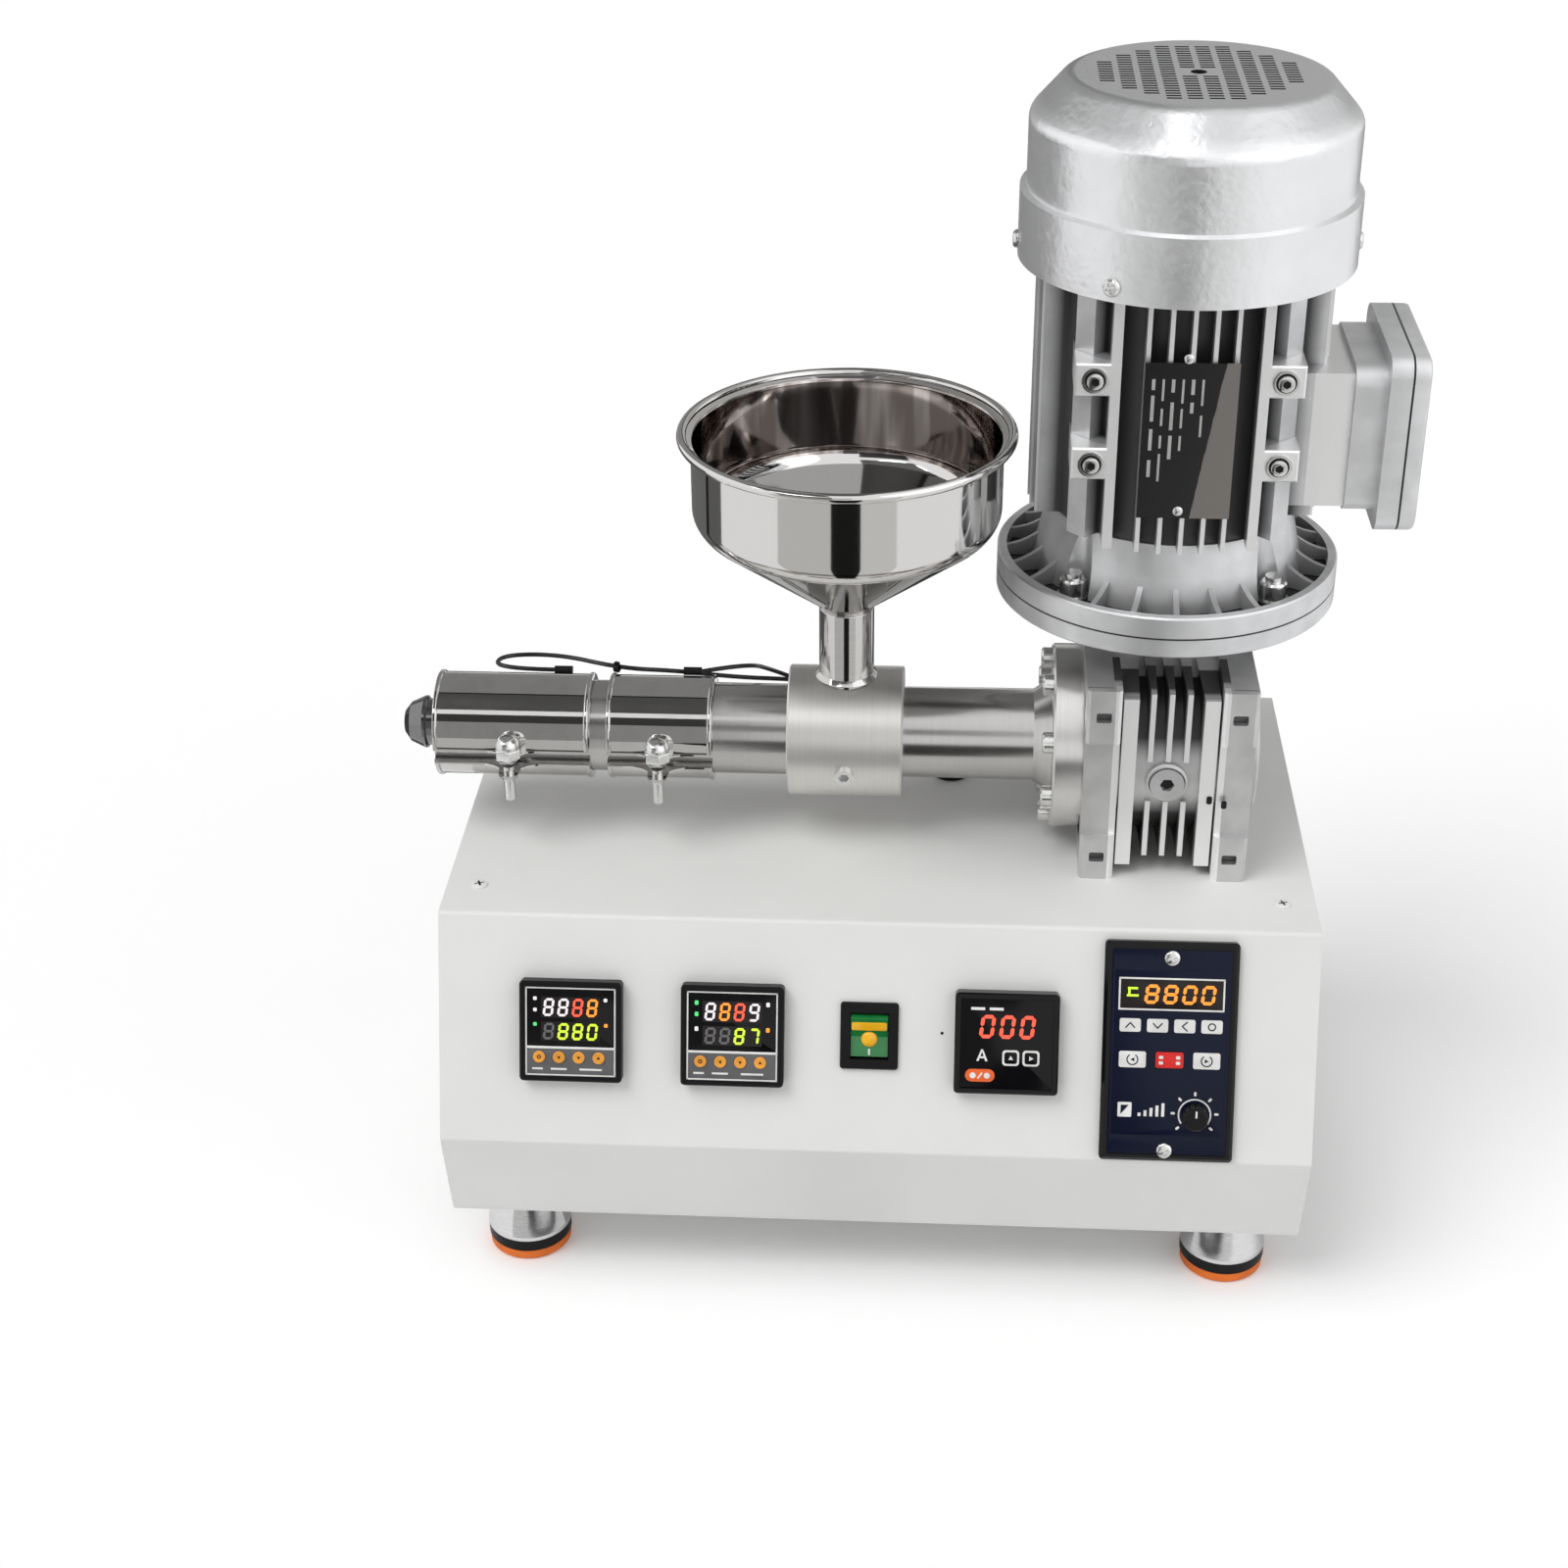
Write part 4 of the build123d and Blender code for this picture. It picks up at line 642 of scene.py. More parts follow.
class StageSettings(bpy.types.PropertyGroup):
    """Camera, lamps and floor."""
    lens: FloatProperty(name="Lens", description="Focal length on a 36 mm sensor", default=59.55, min=10,
                        unit="CAMERA")
    eye: FloatVectorProperty(name="Eye", description="Camera's place, in millimetres", size=3,
                             default=(27.45, -1006.32, 846.01))
    pitch: FloatProperty(name="Pitch", description="How far the camera looks down", default=radians(29.87),
                         subtype="ANGLE")
    yaw: FloatProperty(name="Yaw", description="How far the camera looks to the left", default=radians(3.93),
                       subtype="ANGLE")
    roll: FloatProperty(name="Roll", description="Turn of the picture", default=radians(-0.68),
                        subtype="ANGLE")
    floor: FloatVectorProperty(name="Floor", description="Colour of the floor", subtype="COLOR", size=3,
                               min=0, max=1, default=(0.88, 0.88, 0.88))
    lift: FloatProperty(name="Lift", description="Extra brightness of the floor in the picture",
                        default=0.10, min=0)
    ambient: FloatProperty(name="Ambient", description="Strength of the soft light all round",
                           default=0.525, min=0)


class FinishSettings(bpy.types.PropertyGroup):
    """Colours of the main finishes."""
    cabinet: FloatVectorProperty(name="Cabinet", description="Colour of the cabinet's paint",
                                 subtype="COLOR", size=3, min=0, max=1, default=(0.745, 0.745, 0.73))
    silver: FloatVectorProperty(name="Silver", description="Colour of the motor's paint",
                                subtype="COLOR", size=3, min=0, max=1, default=(0.74, 0.745, 0.755))
    steel: FloatVectorProperty(name="Steel", description="Colour of the bare steel",
                               subtype="COLOR", size=3, min=0, max=1, default=(0.66, 0.65, 0.64))


class DetailSettings(bpy.types.PropertyGroup):
    """Sizes of the small parts."""
    lead_diameter: FloatProperty(name="Lead diameter", description="Outside of a heater lead, in millimetres",
                                 default=2.2, min=0.5)
    window_share: FloatProperty(name="Window share", description="Share of a controller's face over its keys",
                                default=0.68, min=0.3, max=0.9)


# Route of each heater lead, and its length in metres
LEADS = {
    "heater_lead_1": ([(-161, 110.4, 264.7), (-190, 110.4, 264.7), (-190, 125.3, 264.5),
                       (-161, 125.5, 265.5), (-128, 109, 266.9), (-100, 114, 263.5), (-72, 119, 258),
                       (-42, 129.5, 252), (-4, 134, 246), (25, 140, 235), (36, 142, 215),
                       (36, 142, 196.5)], 0.300),
    "heater_lead_2": ([(-88, 106.5, 267.4), (-66, 107.5, 271.5), (-57, 131, 257), (-30, 134, 244),
                       (4, 138, 234), (26, 141, 223), (31, 142, 208), (31, 142, 196.5)], 0.162),
}


class EXTRUDER_OT_stage(bpy.types.Operator):
    """Set up the camera at the photograph's angle, a pale floor and soft studio light"""
    bl_idname = "extruder.stage"
    bl_label = "Stage"

    def execute(self, context):
        settings = context.scene.extruder_stage
        pitch, yaw, roll = settings.pitch, settings.yaw, settings.roll
        ahead = Vector((-sin(yaw) * cos(pitch), cos(yaw) * cos(pitch), -sin(pitch)))
        right = Vector((cos(yaw), sin(yaw), 0))
        up = right.cross(ahead)
        across = right * cos(roll) + up * sin(roll)
        upward = up * cos(roll) - right * sin(roll)
        lens = bpy.data.cameras.new("camera")
        lens.lens, lens.sensor_width, lens.clip_end = settings.lens, 36.0, 20.0
        camera = new_object("camera", lens)
        eye = (Vector(settings.eye) + SHIFT) * MM
        view = Matrix((across, upward, -ahead)).transposed().to_4x4()
        camera.matrix_world = Matrix.Translation(eye) @ view
        context.scene.camera = camera
        context.scene.view_settings.view_transform = "Standard"
        self.floor(settings)
        self.flags()
        self.lamps()
        self.world(context, settings)
        return {"FINISHED"}

    def sheet(self, name, corners, material, seen=True):
        """Flat or bent sheet of the stage, from rows of two corners each, in metres."""
        shape = bmesh.new()
        rows = [[shape.verts.new(corner) for corner in row] for row in corners]
        for (a, b), (c, d) in zip(rows, rows[1:]):
            shape.faces.new((a, b, d, c))
        made = new_object(name, mesh_of(shape, name))
        made.data.materials.append(material)
        if not seen:
            made.visible_camera = made.visible_diffuse = False
            made.visible_shadow = made.visible_volume_scatter = False

    def floor(self, settings):
        """Pale floor that shows a little brighter to the camera and keeps the shadows."""
        paint = Paint("floor")
        path = paint.value("ShaderNodeLightPath", {}, {}, "Is Camera Ray")
        paint.done(Base_Color=(*settings.floor, 1.0), Roughness=0.8, Specular_IOR_Level=0.0,
                   Emission_Color=(1.0, 1.0, 1.0, 1.0), Emission_Strength=settings.lift * path)
        half = 6
        rows = [[(x, y, 0) for x in (-half, half)] for y in (-half, half)]
        self.sheet("floor", rows, paint.material)

    def flags(self):
        """Grey sheets round the barrel and on the floor that only shiny metal shows."""
        centre = (Vector((0, BARREL_Y, BARREL_Z)) + SHIFT) * MM
        for i, (low, high, tone, left, right) in enumerate(FLAGS):
            rows = [[(x, centre.y - FLAG_R * cos(a), centre.z + FLAG_R * sin(a)) for x in (left, right)]
                    for a in self.spread(low, high)]
            self.sheet(f"flag_{i}", rows, self.card(f"flag_{i}", tone), False)
        hub = (Vector((HOPPER_X, BARREL_Y, 0)) + SHIFT) * MM
        for i, (left, right, near, tone) in enumerate(FLOOR_FLAGS):
            rows = [[(hub.x + r * sin(a), hub.y - r * cos(a), 0.001) for r in (near, FLOOR_FLAG_END)]
                    for a in self.spread(left, right)]
            self.sheet(f"floor_flag_{i}", rows, self.card(f"floor_flag_{i}", tone), False)

    def spread(self, low, high):
        """Even angles between two, which are in degrees."""
        return [radians(low + (high - low) * k / FLAG_STEPS) for k in range(FLAG_STEPS + 1)]

    def card(self, name, tone):
        """Even grey that needs no light."""
        paint = Paint(name)
        return paint.done(Base_Color=(0, 0, 0, 1), Roughness=1.0, Specular_IOR_Level=0.0,
                          Emission_Color=(tone, tone, tone * 0.98, 1.0), Emission_Strength=1.0)

    def lamps(self):
        for name, (place, soft, strength) in LAMPS.items():
            light = bpy.data.lights.new(name, "SUN")
            light.energy, light.angle = strength, radians(soft)
            new_object(name, light).matrix_world = towards(place)

    def world(self, context, settings):
        """Soft light all round, which the camera and shiny metal see as plain white."""
        world = bpy.data.worlds.new("studio")
        context.scene.world = world
        world.use_nodes = True
        nodes, links = world.node_tree.nodes, world.node_tree.links
        soft, white = nodes["Background"], nodes.new("ShaderNodeBackground")
        for light in (soft, white):
            light.inputs["Color"].default_value = (1.0, 1.0, 1.0, 1.0)
        soft.inputs["Strength"].default_value = settings.ambient
        path = nodes.new("ShaderNodeLightPath")
        either = nodes.new("ShaderNodeMath")
        either.operation = "MAXIMUM"
        mixer = nodes.new("ShaderNodeMixShader")
        links.new(path.outputs["Is Camera Ray"], either.inputs[0])
        links.new(path.outputs["Is Glossy Ray"], either.inputs[1])
        links.new(either.outputs[0], mixer.inputs[0])
        links.new(soft.outputs[0], mixer.inputs[1])
        links.new(white.outputs[0], mixer.inputs[2])
        links.new(mixer.outputs[0], nodes["World Output"].inputs["Surface"])


class EXTRUDER_OT_heater_leads(bpy.types.Operator):
    """Lay the two heater leads from the bands to the grommet"""
    bl_idname = "extruder.heater_leads"
    bl_label = "Heater leads"

    def execute(self, context):
        diameter = context.scene.extruder_details.lead_diameter
        for name, (route, length) in LEADS.items():
            points = [(Vector(point) + SHIFT) * MM for point in route]
            curve = bpy.data.curves.new(name + "_cord", "CURVE")
            curve.dimensions, curve.bevel_depth, curve.bevel_resolution = "3D", diameter / 2 * MM, 5
            curve.resolution_u, curve.use_fill_caps = 16, True
            spline = curve.splines.new("NURBS")
            spline.points.add(len(points) - 1)
            for knot, point in zip(spline.points, points):
                knot.co = (*point, 1.0)
            spline.order_u = 3
            spline.use_endpoint_u = True
            lead = new_object(name + "_cord", curve)
            curve.materials.append(finish("black_lead"))
            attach(lead, "machine")
            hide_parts(name)
        knot = at(-130, 109.6, 266.6) @ towards((1, -0.45, 0.04))
        loop = turned([(1.3, -1.2), (2.1, -1.2), (2.1, 1.2), (1.3, 1.2)], [(1, 0.3), (2, 0.3)], 24)
        tie = Piece("lead_tie", "black_plastic").add(loop, knot)
        tie.add(brick(2.2, 1.8, 2.6, 0.4), knot @ at(0, 2.4, 0)).done()
        return {"FINISHED"}


# CAD nodes of each finish
DRESSES = {
    "cabinet_paint": "cabinet_cover cabinet_left_side cabinet_right_side cabinet_back cabinet_base",
    "chrome": "foot_cones",
    "black_plastic": "foot_rings left_controller right_controller rocker_frame speed_knob fan lead_glands "
                     "cable_grommet",
    "orange_rubber": "foot_pads",
    "gloss_black": "current_meter speed_controller",
    "green_rocker": "rocker",
    "gearbox_casting": "gearbox_housing",
    "cast_aluminium": "gearbox_side_cover oil_plug",
    "flange_paint": "gearbox_input_flange motor_end_shield",
    "fin_paint": "motor_housing",
    "box_paint": "terminal_box terminal_box_lid",
    "hammered_silver": "fan_cover",
    "zinc": "flange_nuts flange_bolts block_set_screw clamp_bolt_1 clamp_bolt_2",
    "plate_foil": "motor_nameplate",
    "steel": "motor_shaft extruder_screw",
    "satin_steel": "barrel_flange",
    "tube_steel": "rear_tube barrel_tube",
    "block_steel": "feed_block",
    "polished_steel": "heater_band_1 heater_band_2",
    "spun_steel": "hopper feed_spout",
    "dark_steel": "nozzle",
    "black_screw": "cabinet_screws",
    "black_lead": "heater_lead_1 heater_lead_2",
}


class EXTRUDER_OT_finishes(bpy.types.Operator):
    """Give every CAD node its finish"""
    bl_idname = "extruder.finishes"
    bl_label = "Finishes"

    def execute(self, context):
        for name, nodes in DRESSES.items():
            for node in nodes.split():
                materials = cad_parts[node].data.materials
                materials.clear()
                materials.append(finish(name))
        return {"FINISHED"}


# Upper and lower reading of each controller, with a finish for each figure, and its lamps
CONTROLLERS = {
    "left": {
        "x": -141.0,
        "rows": (("8888", "white_glow white_glow red_glow orange_glow"),
                 ("8880", "unlit_segment green_glow green_glow green_glow")),
        "lamps": (("white_glow", ((-16.6, 15.7), (-16.6, 10.3), (16.4, 15.5))),
                  ("orange_glow", ((16.6, 3.4),)), ("lime_led", ((-16.6, 3.4),))),
        "lamp_height": 1.7,
    },
    "right": {
        "x": -65.5,
        "rows": (("8889", "white_glow orange_glow red_glow white_glow"),
                 ("8887", "unlit_segment unlit_segment green_glow green_glow")),
        "lamps": (("white_glow", ((-16.6, 3.3), (16.6, 15.5))), ("orange_glow", ((16.6, 3.4),)),
                  ("lime_led", ((-16.6, 15.7), (-16.6, 10.3)))),
        "lamp_height": 2.1,
    },
}


class EXTRUDER_OT_controllers(bpy.types.Operator):
    """Fit the faces, figures, lamps and keys of the two temperature controllers"""
    bl_idname = "extruder.controllers"
    bl_label = "Temperature controllers"
    face = 42.4
    levels = (11.65, 0.15)      # of the two rows of figures

    def execute(self, context):
        for side, facts in CONTROLLERS.items():
            name = f"{side}_controller_"
            centre = on_panel(facts["x"], INSTRUMENT_DOWN, INSTRUMENT_OUT)
            self.plates(name, centre, context.scene.extruder_details.window_share)
            self.readings(name, centre, facts)
            self.keys(name, centre)
        return {"FINISHED"}

    def plates(self, name, centre, share):
        """Window over the key strip, their frame, and the dark displays."""
        face = self.face
        split = face / 2 - share * face
        top, low = face / 2 - split, split + face / 2
        Piece(name + "window", "gloss_black", "black_plastic").add(
            slab(face, top, 0.25, 0.6, 0.1), centre @ at(0, split + top / 2, 0)).done()
        Piece(name + "strip", "grey_strip").add(
            slab(face, low, 0.25, 0.6, 0.1), centre @ at(0, split - low / 2, 0)).done()
        line = Piece(name + "frame", "white_print", "black_plastic")
        edge = face / 2 - 0.4
        for width, height, x, y in ((face, 0.7, 0, edge), (face, 0.7, 0, -edge), (0.7, face, -edge, 0),
                                    (0.7, face, edge, 0), (face, 1.1, 0, split)):
            line.add(brick(width, height, 0.2, 0.05), centre @ at(x, y, 0.3))
        for x, long in ((-15.5, 5.0), (-5.5, 7.5), (9.5, 10.5)):
            line.add(brick(long, 0.9, 0.1), centre @ at(x, -17.9, 0.28))
        line.done()
        backing = Piece(name + "displays", "display_window", "black_plastic")
        for level, tall in zip(self.levels, (10.0, 9.2)):
            backing.add(slab(27.6, tall, 0.1, 0.3), centre @ at(0, level, 0.25))
        backing.done()

    def readings(self, name, centre, facts):
        """Figures and small lamps, one piece for each colour."""
        shown = {}
        for (figures, glows), level, tall in zip(facts["rows"], self.levels, (7.4, 6.8)):
            for i, (figure, glow) in enumerate(zip(figures, glows.split())):
                piece = shown.setdefault(glow, Piece(name + glow, glow, "black_plastic"))
                digit(piece, figure, centre @ at(-10.2 + 6.8 * i, level, 0.36), 3.7, tall, 1.15)
        for glow, spots in facts["lamps"]:
            piece = shown.setdefault(glow, Piece(name + glow, glow, "black_plastic"))
            for x, y in spots:
                piece.add(slab(1.7, facts["lamp_height"], 0.14, 0.5), centre @ at(x, y, 0.25))
        for piece in shown.values():
            piece.done()

    def keys(self, name, centre):
        keys = Piece(name + "keys", "amber_key")
        marks = Piece(name + "key_marks", "black_plastic")
        dome = [(0, 0), (2.8, 0), (2.8, 0.6), (2.2, 0.85), (1.7, 0.6), (0, 0.6)]
        for i, angle in enumerate((None, 90, 180, 0)):
            spot = centre @ at(-14.7 + 9.3 * i, -12.2, 0.25)
            keys.add(turned(dome, [(3, 0.2)], 36), spot)
            top = spot @ at(0, 0, 0.6)
            if angle is None:
                marks.add(ring(0.5, 0.95, 0.1, 20), top)
            else:
                marks.add(prism([(-0.8, -0.5), (0.8, -0.5), (0, 0.8)], 0.1), top @ turn(angle))
        keys.done()
        marks.done()


class EXTRUDER_OT_current_meter(bpy.types.Operator):
    """Fit the figures and keys of the current meter"""
    bl_idname = "extruder.current_meter"
    bl_label = "Current meter"

    def execute(self, context):
        centre = on_panel(61.5, INSTRUMENT_DOWN, INSTRUMENT_OUT)
        key_places, key_y, thick = (2.0, 11.3), -6.4, 0.6
        Piece("current_meter_window", "gloss_black").add(slab(42.6, 42.6, thick, 1.2, 0.2), centre).done()
        lit = Piece("current_meter_figures", "red_glow")
        for i in range(3):
            digit(lit, "0", centre @ at(-9.0 + 9.2 * i, 8.2, thick), 5.0, 9.4, 1.7)
        lit.done()
        mark = Piece("current_meter_print", "white_print")
        sign = centre @ at(-11.2, -5.4, thick)
        mark.add(prism([(-2.6, -2.8), (-1.5, -2.8), (0.35, 2.9), (-0.35, 2.9)], 0.08), sign)
        mark.add(prism([(2.6, -2.8), (0.35, 2.9), (-0.35, 2.9), (1.5, -2.8)], 0.08), sign)
        mark.add(brick(2.6, 0.9, 0.08), sign @ at(0, -1.0, 0.04))
        for x in (-13.5, -5.0):
            mark.add(brick(6.4, 1.3, 0.1), centre @ at(x, 16.6, 0.62))
        keys = Piece("current_meter_keys", "gloss_black")
        arrows = Piece("current_meter_key_marks", "white_print")
        for x, angle in zip(key_places, (0, -90)):
            spot = centre @ at(x, key_y, thick)
            mark.add(slab(7.8, 7.4, 0.3, 1.6, 0.1), spot)
            keys.add(slab(5.9, 5.5, 0.42, 1.1, 0.1), spot)
            arrow = prism([(-1.1, -0.8), (1.1, -0.8), (0, 1.2)], 0.08)
            arrows.add(arrow, centre @ at(x, key_y, 1.02) @ turn(angle))
        for piece in (mark, keys, arrows):
            piece.done()
        pill_x, pill_y = -12.0, -15.0
        Piece("current_meter_selector", "orange_key").add(
            slab(13.6, 6.0, 0.5, 2.9, 0.15, 8), centre @ at(pill_x, pill_y, thick)).done()
        dots = Piece("current_meter_selector_marks", "white_print")
        for x in (-15.3, -8.8):
            dots.add(rod(1.4, 0.1, 0, 24), centre @ at(x, pill_y, 1.1))
        dots.add(brick(3.4, 0.7, 0.1), centre @ at(pill_x, pill_y, 1.14) @ turn(55)).done()
        return {"FINISHED"}


class EXTRUDER_OT_speed_controller(bpy.types.Operator):
    """Fit the foil, display, keys, dial and screws of the speed controller"""
    bl_idname = "extruder.speed_controller"
    bl_label = "Speed controller"
    x, middle_x = 136.2, 136.4          # of the frame, and of the display
    floor, face = 3.9, 4.4              # heights of the sunk floor and of the foil on it

    def execute(self, context):
        foil = Piece("speed_controller_foil", "navy_foil")
        foil.add(slab(54.4, 97.0, 0.3, 1.2, 0.1), on_panel(self.x, 56.8, self.floor))
        foil.cut(rod(5.2, 4.0), on_panel(KNOB_X, KNOB_DOWN, self.floor - 2))
        foil.add(slab(51.6, 78.6, 0.5, 1.0, 0.35), on_panel(self.x, 57.2, self.floor)).done()
        line = Piece("speed_controller_print", "white_print")
        marks = Piece("speed_controller_key_marks", "navy_foil")
        self.display(line)
        self.keys(line, marks)
        self.dial(line, marks)
        line.done()
        marks.done()
        screws = Piece("speed_controller_screws", "zinc")
        for x, down in ((136.1, 12.2), (135.4, 103.4)):
            cross_screw(screws, on_panel(x, down, self.floor + 0.2), 3.7, 1.6)
        screws.done()
        pointer = brick(0.8, 3.2, 0.16, 0.05)
        Piece("speed_knob_pointer", "white_print", "black_plastic", "speed_knob").add(
            pointer, on_panel(KNOB_X, KNOB_DOWN, KNOB_TOP) @ at(0, 2.6, 0.02)).done()
        return {"FINISHED"}

    def display(self, line):
        """Window with its frame and its figures."""
        x, down, up = self.middle_x, 29.2, self.face
        Piece("speed_controller_window", "display_window").add(
            slab(47.0, 14.2, 0.2, 0.6, 0.06), on_panel(x, down, up)).done()
        for width, height, right, above in ((48.0, 0.8, 0, 7.3), (48.0, 0.8, 0, -7.3),
                                            (0.8, 15.2, -23.8, 0), (0.8, 15.2, 23.8, 0)):
            line.add(brick(width, height, 0.3, 0.08), on_panel(x + right, down - above, up + 0.15))
        lit = Piece("speed_controller_figures", "orange_glow")
        for i, figure in enumerate("8800"):
            digit(lit, figure, on_panel(127.4 + 8.6 * i, down, up + 0.22), 4.9, 7.6, 1.5)
        lit.done()
        sign = Piece("speed_controller_unit", "green_glow")
        for above, wide in ((2.6, 4.6), (-0.8, 5.4)):
            sign.add(brick(wide, 1.0, 0.1), on_panel(118.6, down - above, up + 0.25))
        sign.add(brick(1.0, 3.6, 0.1), on_panel(117.0, 28.3, up + 0.25)).done()

    def keys(self, line, marks):
        """Four small keys with arrows and a ring, two with round arrows, and the red one between them."""
        up, small_down, large_down = self.face, 44.0, 60.2
        for x, angle in ((117.9, 0), (130.4, 180), (142.8, 90), (155.2, None)):
            line.add(slab(9.7, 6.3, 0.5, 1.0, 0.15), on_panel(x, small_down, up))
            spot = on_panel(x, small_down, up + 0.5)
            if angle is None:
                marks.add(ring(1.3, 1.9, 0.06), spot)
                continue
            for side in (-1, 1):
                place = spot @ turn(angle) @ at(side * 1.05, 0, 0.03) @ turn(side * 42)
                marks.add(brick(0.6, 3.4, 0.06), place)
        for x, angle in ((119.4, 180), (153.4, 0)):
            line.add(slab(12.4, 7.7, 0.5, 1.0, 0.15), on_panel(x, large_down, up))
            spot = on_panel(x, large_down, up + 0.5)
            marks.add(ring(2.2, 2.75, 0.06, 28, 300.0), spot @ turn(120))
            marks.add(prism([(-0.9, -0.9), (0.9, 0), (-0.9, 0.9)], 0.06), spot @ turn(angle))
        Piece("speed_controller_stop_key", "red_key").add(
            slab(12.8, 7.5, 0.5, 1.0, 0.15), on_panel(self.middle_x, large_down, up)).done()
        dots = Piece("speed_controller_stop_marks", "white_print")
        for x in (-3.9, 3.9):
            for y in (-1.3, 1.3):
                dots.add(slab(1.9, 1.5, 0.08, 0.3), on_panel(self.middle_x + x, large_down + y, up + 0.5))
        dots.done()

    def dial(self, line, marks):
        """Scale round the knob, and the rising bars and sign beside it."""
        up, sign_x, sign_down = self.face, 116.6, 84.2
        dial = on_panel(KNOB_X, KNOB_DOWN, up)
        line.add(ring(7.0, 7.7, 0.1, 40, 250.0), dial @ turn(-35))
        for i in range(7):
            line.add(slab(1.1, 2.0, 0.1, 0.45), dial @ turn(130 - i * 260 / 6) @ at(0, 10.0, 0))
        for i in range(5):
            tall = 1.6 + 1.2 * i
            line.add(brick(1.4, tall, 0.1), on_panel(123.4 + 2.7 * i, 87.2 - tall / 2, up + 0.05))
        line.add(slab(6.4, 7.0, 0.12, 0.5), on_panel(sign_x, sign_down, up))
        corner = prism([(-1.8, -2.2), (1.9, 2.2), (-1.8, 2.2)], 0.06)
        marks.add(corner, on_panel(sign_x, sign_down, up + 0.12))


class EXTRUDER_OT_rocker_switch(bpy.types.Operator):
    """Fit the lamp, the amber bar and the sign of the rocker switch"""
    bl_idname = "extruder.rocker_switch"
    bl_label = "Rocker switch"

    def execute(self, context):
        tilt, slope = 8, 9.7        # of the switch at rest, and of each half of its face
        pivot = on_panel(-2.0, 53.6, -3.4) @ turn(tilt, "X")
        lamp = Piece("rocker_lamp", "amber_lens", "green_rocker", "rocker")
        lamp.add(ball(3.9, 0.5), pivot @ at(0, -1.2, 3.9))
        lamp.add(slab(16.4, 4.2, 0.9, 0.8, 0.3), pivot @ at(0, 5.6, 4.45) @ turn(slope, "X")).done()
        Piece("rocker_sign", "white_print", "green_rocker", "rocker").add(
            brick(0.9, 3.0, 0.2, 0.05), pivot @ at(0, -7.2, 4.98) @ turn(-slope, "X")).done()
        return {"FINISHED"}


class EXTRUDER_OT_hopper(bpy.types.Operator):
    """Spin the polished hopper with its rolled rim, and the spout under it"""
    bl_idname = "extruder.hopper"
    bl_label = "Hopper"

    def execute(self, context):
        axis = at(HOPPER_X, BARREL_Y, 0)
        low, high = (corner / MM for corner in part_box("hopper"))
        base = low.z
        radius, wall, rim, floor, neck, taper = 71.4, 1.2, 2.3, 357.0, 11.2, 0.76
        rim_z, rim_out = high.z - rim, (high.x - low.x) / 2 - rim
        cone_end = floor - (radius - neck) * taper
        outline = [(neck, base), (neck, cone_end), (radius, floor), (radius, rim_z - 2.8),
                   (rim_out, rim_z - 1.4), (rim_out - 1.0, rim_z + 0.2), (radius - wall, rim_z - 1.6),
                   (radius - wall, floor + 1.0), (neck - wall, cone_end + 1.0), (neck - wall, base)]
        soft = [(1, 3.0), (2, 6.0), (3, 1.2), (6, 1.2), (7, 6.0), (8, 3.0)]
        corners = [a * pi / 8 for a in range(16)]
        rolled = [(rim_out + rim * cos(a), rim_z + rim * sin(a)) for a in corners]
        bowl = Piece("hopper_bowl", "hopper_steel").add(turned(outline, soft, 160, steps=7), axis)
        bowl.add(turned(rolled, (), 160), axis).done(replaces=["hopper"])
        bottom, top = (corner.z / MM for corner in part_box("feed_spout"))
        inside, outside, seat = 11.4, 13.0, 274.9
        pipe = [(inside, bottom), (outside, bottom), (outside, top), (inside, top)]
        weld = [(outside, seat), (outside + 2.2, seat), (outside, seat + 2.3)]
        tube = Piece("feed_spout_tube", "spun_steel").add(turned(pipe, [(2, 0.5)]), axis)
        tube.add(turned(weld, [(1, 0.5)]), axis).done(replaces=["feed_spout"])
        return {"FINISHED"}


